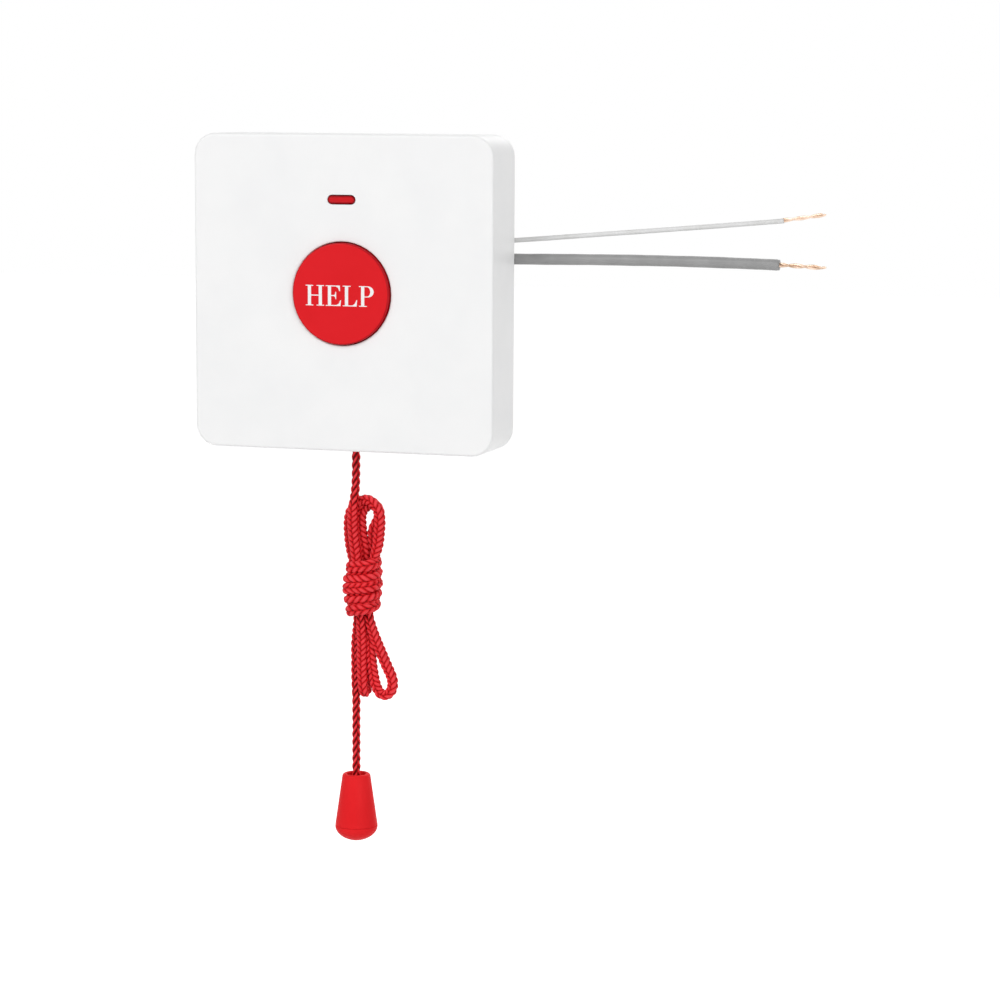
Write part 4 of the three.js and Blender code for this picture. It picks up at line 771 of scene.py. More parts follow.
@dataclass(frozen=True)
class PullCord:
    """The red cord: down from the slider, wound in a hank, and down to the knob. Millimetres.

    A row of its route is x, y, z, the radius and the twist in degrees.
    """

    cord_y: float = -11.4
    wrap_centres: Row = (2.25, 2.1, 1.8, 1.85, 2.0)
    wrap_reaches: Row = (3.1, 3.65, 3.95, 3.4, 3.0)
    wrap_radius: float = 1.68
    wrap_depth: float = 3.7
    first_wrap_z: float = -76.05
    wrap_pitch: float = 2.98
    wrap_start: float = 40
    wrap_stop: float = -250 - 4 * 360
    points_a_turn: int = 14
    wrap_squareness: float = 0.8
    wrap_waver: float = 0.12

    down_to_hank: tuple[Row, ...] = (
        (0, -11.4, -19, 1.15, 45), (0, -11.4, -27, 1.15, 45), (0, -11.4, -35, 1.15, 45),
        (0, -11.4, -43, 1.15, 45), (0, -11.45, -49, 1.15, 45), (0, -11.7, -53, 1.16, 40),
        (-0.03, -12.3, -55.8, 1.2, 30), (-0.15, -12.9, -58.4, 1.3, 15),
    )
    front_strand: tuple[Row, ...] = (
        (-0.4, -13.05, -61.4, 1.5, 0), (-0.35, -12.9, -65.5, 1.54, 0), (0.15, -12.9, -70, 1.54, 0),
        (0.85, -13.1, -74.6, 1.4, 0), (1.6, -12.9, -78.5, 1.1, 0), (1.7, -12.8, -83, 1.1, 0),
        (1.6, -12.9, -88, 1.12, 0), (1.9, -13, -91.5, 1.31, 0), (2.1, -12.8, -95.5, 1.39, 0),
        (2.1, -12.6, -100, 1.44, 0), (2.15, -12.6, -104.5, 1.44, 0), (2.3, -12.65, -108.4, 1.44, 0),
        (2.4, -12.25, -110.9, 1.39, 0), (2.5, -10.9, -112.1, 1.36, 0), (2.6, -9.55, -110.9, 1.39, 0),
        (2.65, -9.15, -108.2, 1.44, 0), (2.6, -9.15, -103, 1.44, 0), (2.5, -9.2, -98, 1.39, 0),
        (2.2, -9.35, -94, 1.31, 0), (1.4, -9.9, -91, 1.15, 0), (0.9, -10.3, -88, 1.1, 0),
        (0.2, -11, -83, 1.1, 0), (-0.2, -11.3, -78.8, 1.1, 0),
    )
    outer_arch: tuple[Row, ...] = (
        (-0.9, -11, -75, 1.36, 0), (-1.75, -10.8, -71, 1.54, 0), (-2.2, -10.75, -67, 1.56, 0),
        (-2.25, -10.6, -63.6, 1.56, 0), (-1.6, -10.4, -60.8, 1.54, 0), (0.2, -10.25, -58.7, 1.5, 0),
        (2.8, -10.5, -57.75, 1.47, 0), (5.3, -11.2, -58.9, 1.47, 0), (6.8, -11.75, -61.1, 1.47, 0),
        (7.2, -12, -63.8, 1.52, 0), (7, -12, -66.6, 1.54, 0), (6.6, -12, -70, 1.52, 0),
        (5.59, -11.95, -73.4, 1.36, 0), (4.5, -11.8, -76.3, 1.15, 0), (4, -11.6, -80, 1.1, 0),
        (4, -11.8, -84.5, 1.1, 0), (3.95, -12.15, -88.5, 1.12, 0), (4.45, -12.35, -91.5, 1.31, 0),
    )
    lower_loop: tuple[Row, ...] = (
        (5.5, -12.4, -94.8, 1.42, 0), (6.85, -12.2, -98.3, 1.47, 0), (8.2, -12, -101.6, 1.52, 0),
        (9.45, -11.8, -104.5, 1.52, 0), (10.6, -11.65, -107.2, 1.49, 0), (10.75, -11.55, -109.9, 1.49, 0),
        (9.6, -11.5, -111.9, 1.49, 0), (7.7, -11.45, -112.2, 1.49, 0), (6.2, -11.4, -110.6, 1.47, 0),
        (5.4, -11.4, -108.2, 1.47, 0), (4.85, -11.4, -105, 1.44, 0), (4.45, -11.4, -101.5, 1.44, 0),
        (4.25, -11.3, -98, 1.44, 0), (3.95, -10.8, -94.5, 1.36, 0), (3.4, -10, -91, 1.2, 0),
        (3.1, -9.9, -88, 1.1, 0), (2.4, -9.9, -83, 1.1, 0), (1.9, -10.1, -78.8, 1.1, 0),
    )
    inner_arch: tuple[Row, ...] = (
        (2.35, -10.6, -74.8, 1.5, 0), (2.31, -10.9, -71.3, 1.5, 0), (1.6, -10.95, -67.8, 1.56, 0),
        (1.2, -10.8, -64.6, 1.56, 0), (1.15, -10.3, -61.9, 1.5, 0), (2.1, -9.4, -60, 1.48, 0),
        (3.91, -8.8, -59.2, 1.48, 0), (5.35, -9, -59.8, 1.48, 0), (6.15, -9.5, -61.7, 1.5, 0),
        (5.5, -9.85, -64, 1.52, 0), (4.5, -10, -66.3, 1.52, 0), (4.4, -10, -68.8, 1.5, 0),
        (4.55, -9.8, -71.2, 1.46, 0), (4.86, -9.3, -73.6, 1.4, 0),
    )
    down_to_knob: tuple[Row, ...] = (
        (-0.3, -8.6, -91.2, 1.33, 0), (-0.25, -9.7, -93.6, 1.33, 0), (-0.2, -10.8, -96.6, 1.33, 0),
        (-0.2, -11.3, -100, 1.29, 0), (-0.15, -11.4, -104.5, 1.28, 0), (-0.1, -11.4, -109, 1.25, 10),
        (0, -11.4, -113.4, 1.16, 30), (0, -11.4, -118, 1.15, 45), (0, -11.4, -126, 1.15, 45),
        (0, -11.4, -134, 1.15, 45), (0, -11.4, -138.9, 1.15, 45),
    )
    diameter: float = 2.5 * MM
    exit: Colour = (0, -11.4 * MM, -43 * MM)

    def wraps(self) -> list[tuple[float, float, float, float, float]]:
        """The turns round the hank's waist: a superellipse (a C, b S) that sinks by a pitch a turn.

        C and S are the cosine and sine to the power 0.8, with their signs, and a and the middle
        go from each turn's value to the next one's.

        Returns:
            Control rows.
        """
        turn = self.wrap_start - self.wrap_stop
        count = round(turn / 360 * self.points_a_turn)
        angle = np.radians(np.linspace(self.wrap_start, self.wrap_stop, count))
        sunk = (math.radians(-90) - angle) / (2 * math.pi)
        centre = np.interp(sunk, range(5), self.wrap_centres)
        reach = np.interp(sunk, range(5), self.wrap_reaches)
        cosine, sine = np.cos(angle), np.sin(angle)
        x = centre + reach * np.sign(cosine) * np.abs(cosine) ** self.wrap_squareness
        y = self.cord_y + self.wrap_depth * np.sign(sine) * np.abs(sine) ** self.wrap_squareness
        z = self.first_wrap_z - self.wrap_pitch * sunk + self.wrap_waver * np.sin(3.7 * sunk + 1)
        rows = np.stack([x, y, z, np.full(len(x), self.wrap_radius), np.zeros(len(x))], -1)
        return [tuple(row) for row in rows.tolist()]

    def route(self) -> np.ndarray:
        """The whole route as control rows."""
        parts = [self.down_to_hank, self.front_strand, self.outer_arch, self.lower_loop, self.inner_arch,
                 self.wraps(), self.down_to_knob]
        return np.array([row for part in parts for row in part], float)

    def build(self, finish: Material) -> tuple[Piece, np.ndarray]:
        """Makes the cord.

        Args:
            finish: the braid's material.

        Returns:
            The object and the centres of its rings, in metres.
        """
        piece, line = BraidedCord().build("pull_cord_braid", self.route())
        settle(piece, Body.CORD, Slot.BRAID, finish, "cord_upper", "cord_hank", "cord_lower")
        return piece, line


@dataclass
class StopperKnot:
    """A knot in the cord's end: a trefoil (sin a + 2 sin 2a, cos a - 2 cos 2a, -sin 3a), made flat."""

    z: float
    name: str
    node: str
    spread: float = 0.44
    height: float = 0.75
    radius: float = 0.95

    def build(self, finish: Material) -> Piece:
        """Makes the knot.

        Args:
            finish: the braid's material.

        Returns:
            The object.
        """
        a = np.linspace(0.25, 2 * math.pi + 0.1, 40)
        x = self.spread * (np.sin(a) + 2 * np.sin(2 * a))
        y = PullCord.cord_y + self.spread * (np.cos(a) - 2 * np.cos(2 * a))
        z = self.z - self.height * np.sin(3 * a)
        rows = np.stack([x, y, z, np.full(len(a), self.radius), np.zeros(len(a))], -1)
        piece, _ = BraidedCord(ring_step=0.3 * MM, cells=8).build(self.name, rows, (0, 0, 1))
        settle(piece, Body.CORD, Slot.BRAID, finish, self.node)
        return piece


@dataclass(frozen=True)
class Knob:
    """The hollow red cone on the cord's end and the domed plug that closes it. Millimetres."""

    centre: tuple[float, float] = (0.0, -11.4 * MM)
    top: float = -135.2
    base: float = -149.7
    top_radius: float = 3.85
    base_radius: float = 5.95
    wall: float = 1.3
    lip_round: float = 0.8
    recess_radius: float = 2.6
    recess_floor: float = -137.1
    recess_round: float = 0.5
    web_bottom: float = -138.9
    bore: float = 1.5
    inner_round: float = 0.3
    gap: float = 0.3
    seam: float = 0.04
    seam_round: float = 0.12
    dome: float = 4.4
    dome_land: float = 0.25
    dome_power: float = 1.12
    spigot: float = 2.2
    spigot_round: float = 0.4
    sides: int = 128
    smooth_angle: float = 35

    def cone(self) -> Piece:
        """The cone: its section goes down the outside, up the cavity and through the recess."""
        slope = (self.base_radius - self.top_radius) / (self.top - self.base)
        ceiling = self.top_radius + slope * (self.top - self.web_bottom) - self.wall
        foot = self.base - self.gap + self.seam
        section = [
            (self.bore, self.recess_floor, 0), (self.bore, self.web_bottom, 0.2),
            (ceiling, self.web_bottom, self.inner_round),
            (self.base_radius - self.wall, foot, 0.1), (self.base_radius, foot, self.seam_round),
            (self.top_radius, self.top, self.lip_round), (self.recess_radius, self.top, self.recess_round),
            (self.recess_radius, self.recess_floor, self.inner_round), (self.bore, self.recess_floor, 0),
        ]
        return lathe("knob_cone", rounded(section) * MM, self.centre, self.sides)

    def plug(self) -> Piece:
        """The domed plug: a slightly pointed dome r = R cos(a)^p, z = -h sin a under a spigot."""
        top, radius = self.base - self.gap, self.base_radius
        inner, land = radius - self.wall - self.gap, self.dome_land
        a = np.linspace(math.pi / 2, 0, 24)
        dome = np.stack([radius * np.cos(a) ** self.dome_power, top - land - (self.dome - land) * np.sin(a)], -1)
        edge = rounded([(radius, top - land, 0), (radius, top, self.seam_round), (inner, top, 0.1),
                        (inner, top + self.spigot, self.spigot_round), (0, top + self.spigot, 0)])
        dome[0, 0] = 0
        return lathe("knob_plug", np.concatenate([dome, edge[1:]]) * MM, self.centre, self.sides)

    def build(self, finish: Material) -> list[Piece]:
        """Makes both pieces.

        Args:
            finish: the knob's material.

        Returns:
            The cone and the plug.
        """
        made = [self.cone(), self.plug()]
        for piece, node in zip(made, ("pull_knob", "knob_cap")):
            close_poles(piece)
            settle(piece, Body.CORD, Slot.KNOB, finish, node)
            sharpen(piece, self.smooth_angle)
        return made


def close_poles(piece: Piece) -> None:
    """Merges the points that fall together on an axis or a seam, and turns the faces outwards."""
    work = bmesh.new()
    work.from_mesh(piece.data)
    bmesh.ops.remove_doubles(work, verts=work.verts, dist=MERGE_DISTANCE)
    bmesh.ops.dissolve_degenerate(work, edges=work.edges, dist=FLAT_DISTANCE)
    bmesh.ops.recalc_face_normals(work, faces=work.faces)
    work.to_mesh(piece.data)
    work.free()


def sharpen(piece: Piece, degrees: float) -> None:
    """Shades a piece smooth, apart from its edges sharper than an angle."""
    piece.data.set_sharp_from_angle(angle=math.radians(degrees))


# The leads


@dataclass
class Lead:
    """One insulated lead that leaves at the right, with its bared and twisted copper end."""

    name: str
    route: list[tuple[float, float, float]]
    bared: list[tuple[float, float, float]]
    radius: float
    slot: Slot
    exit: tuple[float, float, float]
    strand: float = 0.34
    strand_offset: float = 0.32
    twist_pitch: float = 9.0
    sides: int = 32
    strand_sides: int = 14
    sheath_step: float = 0.8
    strand_step: float = 0.16
    buried: float = 2.0
    shorter: int = 5

    def sheath(self) -> tuple[Piece, np.ndarray]:
        """The insulation, slightly uneven along its length, and its ring centres."""
        line = spline(np.array(self.route, float), self.sheath_step) * MM
        s = np.linspace(0, 1, len(line))
        swell = 1 + 0.012 * np.sin(31 * s + 1) + 0.01 * np.sin(83 * s)
        swell[-1] = 0.93
        return add_mesh(self.name + "_sheath", *tube(line, self.radius * MM * swell, self.sides)), line

    def strands(self) -> Piece:
        """Two strands twisted about the end's line: centre + offset (cos w side + sin w other)."""
        inside = np.array(self.route[-1], float) - (self.buried, 0, 0)
        rows = spline(np.array([tuple(inside), *self.bared], float), self.strand_step) * MM
        _, side, other = carried_frames(rows, (0, -1, 0))
        turn = np.arange(len(rows)) * self.strand_step / self.twist_pitch * 2 * math.pi
        points, faces, start = [], [], 0
        for n in range(2):
            angle = (turn + n * math.pi)[:, None]
            line = rows + self.strand_offset * MM * (np.cos(angle) * side + np.sin(angle) * other)
            line = line[: len(line) - self.shorter * n]
            radius = np.full(len(line), self.strand * MM)
            radius[-2:] *= (0.85, 0.55)
            made, around = tube(line, radius, self.strand_sides)
            points.append(made)
            faces += [rows_of + start for rows_of in around]
            start += len(made)
        return add_mesh(self.name + "_strands", np.concatenate(points), faces)

    def build(self, sheath: Material, copper: Material) -> None:
        """Args:
            sheath: the insulation's material.
            copper: the strands' material.
        """
        piece, line = self.sheath()
        settle(piece, Body.HOUSING, self.slot, sheath, self.name)
        ends = self.strands()
        settle(ends, Body.HOUSING, Slot.COPPER, copper, self.name + "_copper")


LEAD_Y = -1.8
LEADS = [
    Lead("grey_lead",
         [(12, -7.8, 9.3), (12.3, -5.4, 9.3), (13.9, -3.1, 9.3), (17, LEAD_Y, 9.3), (30, LEAD_Y, 9.25),
          (44, LEAD_Y, 9.3), (66, LEAD_Y, 9.6), (94, LEAD_Y, 9.65), (116.2, LEAD_Y, 9.3)],
         [(116.5, LEAD_Y, 9.3), (121, LEAD_Y, 9.15), (125, LEAD_Y, 8.95), (128.7, LEAD_Y, 8.7)],
         1.5, Slot.GREY, (0.0139, -0.0031, 0.0093)),
    Lead("white_lead",
         [(12, -7.8, 13.4), (12.3, -5.2, 13.4), (13.9, -2.9, 13.4), (17, LEAD_Y, 13.45), (30, LEAD_Y, 13.7),
          (44, LEAD_Y, 14.5), (66, LEAD_Y, 16.4), (94, LEAD_Y, 18.85), (117.2, LEAD_Y, 21)],
         [(117.5, LEAD_Y, 21.2), (121, LEAD_Y, 21.7), (125, LEAD_Y, 22.3), (128.4, LEAD_Y, 22.9)],
         0.66, Slot.WHITE, (0.0139, -0.0029, 0.0134), strand=0.32, strand_offset=0.27),
]


# The housing and what is in it


def smoothed_copy(node: str, name: str) -> Piece:
    """A merged copy of a CAD node whose curved faces are shaded smooth.

    Args:
        node: the node.
        name: the copy's name.

    Returns:
        The copy.
    """
    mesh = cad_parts[node].data.copy()
    mesh.name = name
    mesh.materials.clear()
    piece = bpy.data.objects.new(name, mesh)
    bpy.context.scene.collection.objects.link(piece)
    close_poles(piece)
    mesh.polygons.foreach_set("use_smooth", np.full(len(mesh.polygons), True))
    sharpen(piece, SMOOTH_ANGLE)
    even = piece.modifiers.new("even_normals", "WEIGHTED_NORMAL")
    even.mode, even.weight, even.keep_sharp = "FACE_AREA", 100, True
    return piece


@dataclass(frozen=True)
class Housing:
    """The moulded cover, base, bush, button and lens, with smooth curves."""

    copies: tuple[tuple[str, str, Body, Slot], ...] = (
        ("front_cover", "cover_shell", Body.HOUSING, Slot.COVER),
        ("back_plate", "base_shell", Body.HOUSING, Slot.BASE),
        ("cord_bush", "cord_bushing", Body.HOUSING, Slot.NYLON),
        ("light_pipe", "status_lens", Body.HOUSING, Slot.LENS),
        ("call_button", "button_cap", Body.BUTTON, Slot.BUTTON),
    )

    def build(self, finishes: dict[Slot, Material]) -> None:
        """Makes the copies.

        Args:
            finishes: the material of each slot.
        """
        for node, name, body, slot in self.copies:
            settle(smoothed_copy(node, name), body, slot, finishes[slot], node)


@dataclass(frozen=True)
class Coil:
    """A compression spring, a smoothed copy of its CAD node.

    Attributes:
        node: the CAD spring that it stands for.
        name: its own name.
        joint: the joint that presses it; not used.
        axis: the direction of its length, 0 for X, 1 for Y or 2 for Z.
        fixed: where its resting end is along that axis, in metres.
        travel: how far the other end moves, in metres; not used.
    """

    node: str
    name: str
    joint: str
    axis: int
    fixed: float
    travel: float

    def build(self, finish: Material) -> None:
        """Makes the spring as a smoothed copy of its CAD node.

        Args:
            finish: the wire's material.
        """
        piece = smoothed_copy(self.node, self.name)
        settle(piece, Body.HOUSING, Slot.SPRING, finish, self.node)
        low, high = np.array(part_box(self.node))
        anchor = (low + high) / 2
        anchor[self.axis] = self.fixed
        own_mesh(piece)


COILS = (
    Coil("button_spring", "button_coil", "button_press", 1, -14 * MM, 1.2 * MM),
    Coil("return_spring", "return_coil", "cord_pull", 2, -35.1 * MM, 4 * MM),
)


@dataclass(frozen=True)
class Interior:
    """The parts inside the housing, which stay CAD nodes and get their finishes here."""

    spring: Material

    def finishes(self) -> dict[str, Material]:
        """The finish of each node."""
        steel = Metal("zinc_plate", (0.55, 0.55, 0.56), (0.42, 0.42, 0.44), 0.32).build()
        black = MouldedPlastic("black_moulding", (0.02, 0.02, 0.021), (0.03, 0.03, 0.031), 0.5,
                               specular=0.4).build()
        nylon = MouldedPlastic("natural_nylon", (0.72, 0.7, 0.64), (0.66, 0.63, 0.56), 0.38).build()
        diode = MouldedPlastic("diode_white", (0.8, 0.78, 0.6), (0.7, 0.66, 0.45), 0.25).build()
        board = SolderResist().build()
        return {
            "board_screw_1": steel, "board_screw_2": steel, "board_screw_3": steel, "board_screw_4": steel,
            "lever_pin": steel, "pull_lever": self.spring,
            "circuit_board": board, "status_led": diode, "led_resistor": black, "protection_diode": black,
            "push_switch_body": black, "pull_switch_body": black, "push_switch_plunger": nylon,
            "cord_slider": nylon, "pull_switch_button": nylon,
        }

    def build(self) -> None:
        """Dresses the nodes."""
        for node, finish in self.finishes().items():
            dress(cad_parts[node], finish)
            log.info("%s, dressed as it is", node)


def half_ellipse(x: float, y: float, wide: float, high: float, steps: int = 14) -> list[tuple[float, float]]:
    """The right half of an ellipse from its foot to its top: (x + wide cos a, y + high sin a)."""
    a = np.linspace(-math.pi / 2, math.pi / 2, steps)
    return list(zip((x + wide * np.cos(a)).tolist(), (y + high * np.sin(a)).tolist()))


@dataclass(frozen=True)
class Lettering:
    """White letters on the button, with thick stems and thin serifs. Millimetres."""

    word: str = "HELP"
    front_y: float = -24.0
    thickness: float = 0.04
    left: float = -9.9
    right: float = 9.7
    bottom: float = -3.25
    top: float = 2.3
    space: float = 0.55

    # Each letter's width and its outlines, on a grid six high
    GRID = 6
    FOOT = [(0, 6), (0, 5.75), (0.7, 5.75), (0.7, 0.25), (0, 0.25)]
    LETTERS = {
        "H": (6, [[(0, 0), (2.45, 0), (2.45, 0.25), (1.75, 0.25), (1.75, 2.88), (4.25, 2.88), (4.25, 0.25),
                   (3.55, 0.25), (3.55, 0), (6, 0), (6, 0.25), (5.3, 0.25), (5.3, 5.75), (6, 5.75), (6, 6),
                   (3.55, 6), (3.55, 5.75), (4.25, 5.75), (4.25, 3.2), (1.75, 3.2), (1.75, 5.75),
                   (2.45, 5.75), (2.45, 6), *FOOT]]),
        "E": (5, [[(0, 0), (4.8, 0), (5, 1.7), (4.75, 1.7), (4.2, 0.65), (3.4, 0.28), (1.75, 0.28),
                   (1.75, 2.9), (2.7, 2.9), (3.05, 2.6), (3.15, 2), (3.4, 2), (3.4, 4.15), (3.15, 4.15),
                   (3.05, 3.5), (2.7, 3.2), (1.75, 3.2), (1.75, 5.72), (3.2, 5.72), (4, 5.35), (4.45, 4.4),
                   (4.7, 4.4), (4.6, 6), *FOOT]]),
        "L": (4.7, [[(0, 0), (4.5, 0), (4.7, 1.9), (4.45, 1.9), (3.9, 0.75), (3.1, 0.28), (1.75, 0.28),
                     (1.75, 5.75), (2.55, 5.75), (2.55, 6), *FOOT]]),
        "P": (4.8, [[(0, 0), (2.6, 0), (2.6, 0.25), (1.75, 0.25), (1.75, 2.75),
                     *half_ellipse(2.8, 4.375, 2, 1.625), *FOOT],
                    [(1.75, 3), *half_ellipse(2.6, 4.375, 1.08, 1.375), (1.75, 5.75)]]),
    }

    def build(self, finish: Material) -> Piece:
        """Makes the word as one flat filled curve with a little thickness, turned into a mesh.

        Args:
            finish: the paint.

        Returns:
            The object.
        """
        widths = [self.LETTERS[letter][0] for letter in self.word]
        total = sum(widths) + self.space * (len(self.word) - 1)
        scale = np.array([(self.right - self.left) / total, (self.top - self.bottom) / self.GRID])
        curve = bpy.data.curves.new("lettering", "CURVE")
        curve.dimensions, curve.fill_mode, curve.extrude = "2D", "BOTH", self.thickness / 2 * MM
        start = 0.0
        for letter, width in zip(self.word, widths):
            for outline in self.LETTERS[letter][1]:
                points = (np.array(outline) + (start, 0)) * scale + (self.left, self.bottom)
                path = curve.splines.new("POLY")
                path.points.add(len(points) - 1)
                rows = np.concatenate([points * MM, np.zeros((len(points), 1)), np.ones((len(points), 1))], 1)
                path.points.foreach_set("co", rows.ravel())
                path.use_cyclic_u = True
            start += width + self.space
        drawn = bpy.data.objects.new("lettering_curve", curve)
        bpy.context.scene.collection.objects.link(drawn)
        mesh = bpy.data.meshes.new_from_object(drawn)
        bpy.data.objects.remove(drawn)
        front = Matrix.Translation((0, self.front_y * MM, 0)) @ Matrix.Rotation(math.radians(90), 4, "X")
        mesh.transform(front)
        piece = bpy.data.objects.new("button_lettering", mesh)
        bpy.context.scene.collection.objects.link(piece)
        close_poles(piece)
        settle(piece, Body.BUTTON, Slot.COVER, finish)
        return piece


# The studio


@dataclass(frozen=True)
class Studio:
    """The camera of the photograph, soft lamps, a white surround and a pale floor."""

    eye: Colour = (281.6, -778.1, 53.7)
    yaw: float = 17.37
    pitch: float = 7.77
    roll: float = 0.33
    focal_pixels: float = 2970
    image_pixels: float = 1000
    sensor: float = 36.0
    aim: Colour = (0, 0, -0.05)
    soft_light: float = 0.4
    floor_z: float = -0.4
    floor_half: float = 6.0
    floor_glow: float = 0.65
    lamps: tuple[tuple[str, Colour, float, float], ...] = (
        ("key", (-0.9, -1.5, 1.1), 1.0, 15.5),
        ("fill", (1.35, -1.35, 0.5), 1.2, 12.5),
        ("back", (0.3, 1.4, 1.2), 1.0, 10.5),
    )

    WHITE_RAYS = ("Is Camera Ray", "Is Glossy Ray", "Is Transmission Ray")

    def camera(self) -> None:
        """Places the camera: forward from yaw and pitch, then rolled about it."""
        yaw, pitch, roll = (math.radians(a) for a in (self.yaw, self.pitch, self.roll))
        ahead = math.cos(pitch)
        forward = np.array([-math.sin(yaw) * ahead, math.cos(yaw) * ahead, -math.sin(pitch)])
        level = np.array([math.cos(yaw), math.sin(yaw), 0])
        upright = np.cross(level, forward)
        right = math.cos(roll) * level + math.sin(roll) * upright
        up = -math.sin(roll) * level + math.cos(roll) * upright
        data = bpy.data.cameras.new("camera")
        data.sensor_width = self.sensor
        data.lens = self.focal_pixels / self.image_pixels * self.sensor
        data.clip_start, data.clip_end = 0.01, 50
        eye = bpy.data.objects.new("camera", data)
        eye.matrix_world = Matrix([(*axes, place * MM) for axes, place in
                                   zip(np.stack([right, up, -forward], 1).tolist(), self.eye)] + [(0, 0, 0, 1)])
        bpy.context.scene.collection.objects.link(eye)
        bpy.context.scene.camera = eye

    def lamp(self, name: str, place: Colour, size: float, watts: float) -> None:
        """Adds a soft square lamp that faces the object.

        Args:
            name: the lamp's name.
            place: where it stands, in metres.
            size: its side in metres.
            watts: its power.
        """
        data = bpy.data.lights.new(name, "AREA")
        data.size, data.energy = size, watts
        lamp = bpy.data.objects.new(name, data)
        aim = Vector(self.aim) - Vector(place)
        turned = aim.to_track_quat("-Z", "Y").to_matrix().to_4x4()
        lamp.matrix_world = Matrix.Translation(place) @ turned
        bpy.context.scene.collection.objects.link(lamp)

    def surround(self) -> None:
        """A white world for the camera, reflections and glass, and a softer one for the light."""
        world = bpy.data.worlds.new("surround")
        world.use_nodes = True
        tree = world.node_tree
        tree.nodes.clear()
        rays = tree.nodes.new("ShaderNodeLightPath")
        seen = self.either(tree, rays, self.WHITE_RAYS)
        soft, white = tree.nodes.new("ShaderNodeBackground"), tree.nodes.new("ShaderNodeBackground")
        soft.inputs["Color"].default_value = (1, 1, 1, 1)
        soft.inputs["Strength"].default_value = self.soft_light
        white.inputs["Strength"].default_value = 1
        white.inputs["Color"].default_value = (1, 1, 1, 1)
        mix, output = tree.nodes.new("ShaderNodeMixShader"), tree.nodes.new("ShaderNodeOutputWorld")
        tree.links.new(seen, mix.inputs[0])
        tree.links.new(soft.outputs[0], mix.inputs[1])
        tree.links.new(white.outputs[0], mix.inputs[2])
        tree.links.new(mix.outputs[0], output.inputs["Surface"])
        bpy.context.scene.world = world

    def either(self, tree: bpy.types.NodeTree, rays: Node, names: tuple[str, ...]) -> Socket:
        """1 where any of the named kinds of ray is the one traced.

        Args:
            tree: the nodes.
            rays: the Light Path node.
            names: its outputs.

        Returns:
            The largest of them.
        """
        socket = rays.outputs[names[0]]
        for name in names[1:]:
            node = tree.nodes.new("ShaderNodeMath")
            node.operation = "MAXIMUM"
            tree.links.new(socket, node.inputs[0])
            tree.links.new(rays.outputs[name], node.inputs[1])
            socket = node.outputs[0]
        return socket

    def floor(self) -> None:
        """A pale floor, white to the camera where no shadow falls."""
        half = self.floor_half
        corners = np.array([(-half, -half, self.floor_z), (half, -half, self.floor_z),
                            (half, half, self.floor_z), (-half, half, self.floor_z)])
        plane = add_mesh("floor", corners, [np.array([[0, 1, 2, 3]])], smooth=False)
        graph = Graph("pale_floor")
        material = graph.finish((0.86, 0.86, 0.86), 0.9)
        glow = graph.add("Emission", {"Color": (1, 1, 1, 1), "Strength": self.floor_glow})
        none = graph.add("Emission", {"Strength": 0.0})
        rays = graph.add("LightPath")
        seen = self.either(graph.tree, rays, self.WHITE_RAYS)
        lit = graph.add("MixShader", {0: seen, 1: none.outputs[0], 2: glow.outputs[0]})
        both = graph.add("AddShader", {0: graph.shader.outputs["BSDF"], 1: lit.outputs[0]})
        output = next(n for n in graph.tree.nodes if n.bl_idname == "ShaderNodeOutputMaterial")
        graph.link(both.outputs[0], output.inputs["Surface"])
        dress(plane, material)

    def build(self) -> None:
        """Sets the stage."""
        bpy.context.scene.view_settings.view_transform = "Standard"
        self.camera()
        self.surround()
        self.floor()
        for lamp in self.lamps:
            self.lamp(*lamp)


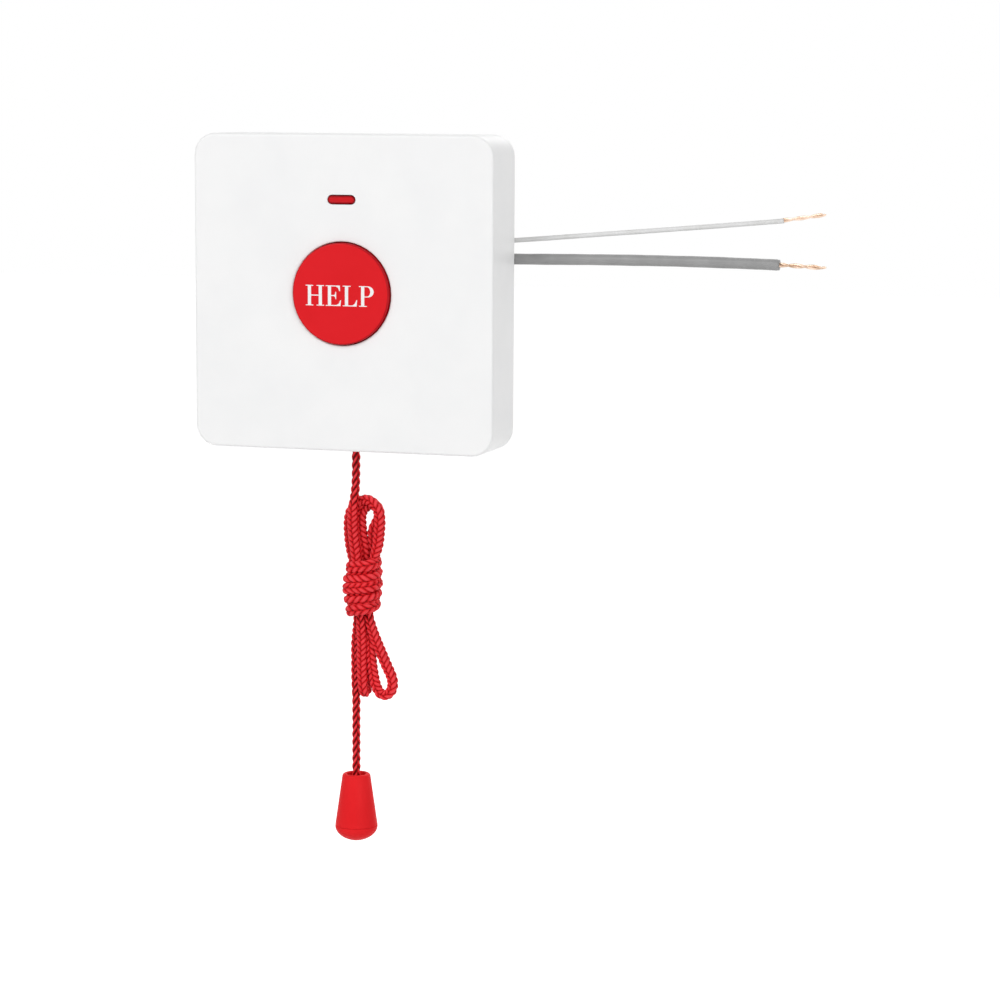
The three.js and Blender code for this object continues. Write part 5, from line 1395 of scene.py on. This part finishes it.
def build_finishes() -> dict[Slot, Material]:
    """The material of each slot that new pieces take."""
    return {
        Slot.COVER: MouldedPlastic("white_moulding", (0.9, 0.9, 0.9), (0.875, 0.877, 0.88)).build(),
        Slot.BASE: MouldedPlastic("off_white_moulding", (0.8, 0.8, 0.78), (0.76, 0.76, 0.74), 0.5).build(),
        Slot.NYLON: MouldedPlastic("bush_nylon", (0.74, 0.72, 0.68), (0.68, 0.66, 0.6), 0.38).build(),
        Slot.LENS: ClearRed().build(),
        # The outline gives the button a painted shade round its edge
        Slot.BUTTON: MouldedPlastic("red_moulding", (0.72, 0.009, 0.015), (0.7, 0.008, 0.013), 0.45,
                                    specular=0.15, outline=Pill.around("call_button", 0, BUTTON_RADIUS)).build(),
        Slot.KNOB: MouldedPlastic("knob_moulding", (0.82, 0.018, 0.022), (0.77, 0.014, 0.018), 0.5,
                                  specular=0.07).build(),
        Slot.BRAID: BraidedYarn("red_braid_yarn").build(),
        Slot.GREY: CableSheath("grey_sheath", (0.29, 0.29, 0.29), (0.33, 0.33, 0.33)).build(),
        Slot.WHITE: CableSheath("white_sheath", (0.72, 0.72, 0.72), (0.66, 0.66, 0.65)).build(),
        Slot.COPPER: Metal("bright_copper", (0.78, 0.6, 0.48), (0.4, 0.25, 0.15), 0.34).build(),
        Slot.SPRING: Metal("drawn_wire", (0.5, 0.5, 0.52), (0.3, 0.3, 0.32), 0.22).build(),
    }


def main() -> None:
    """Builds the scene: camera and cords first, then the rest."""
    logging.basicConfig(level=logging.INFO, format="%(message)s")
    Studio().build()
    finishes = build_finishes()
    cord = PullCord()
    braid, line = cord.build(finishes[Slot.BRAID])
    knots = [StopperKnot(-16.7, "top_knot", "cord_top_knot").build(finishes[Slot.BRAID]),
             StopperKnot(-141.2, "end_knot", "cord_end_knot").build(finishes[Slot.BRAID])]
    Knob().build(finishes[Slot.KNOB]) + knots
    for lead in LEADS:
        lead.build(finishes[lead.slot], finishes[Slot.COPPER])
    Housing().build(finishes)
    for coil in COILS:
        coil.build(finishes[Slot.SPRING])
    Interior(finishes[Slot.SPRING]).build()
    Lettering().build(MouldedPlastic("white_print", (0.88, 0.88, 0.88), (0.84, 0.84, 0.84), 0.5).build())


if __name__ == "__main__":
    main()
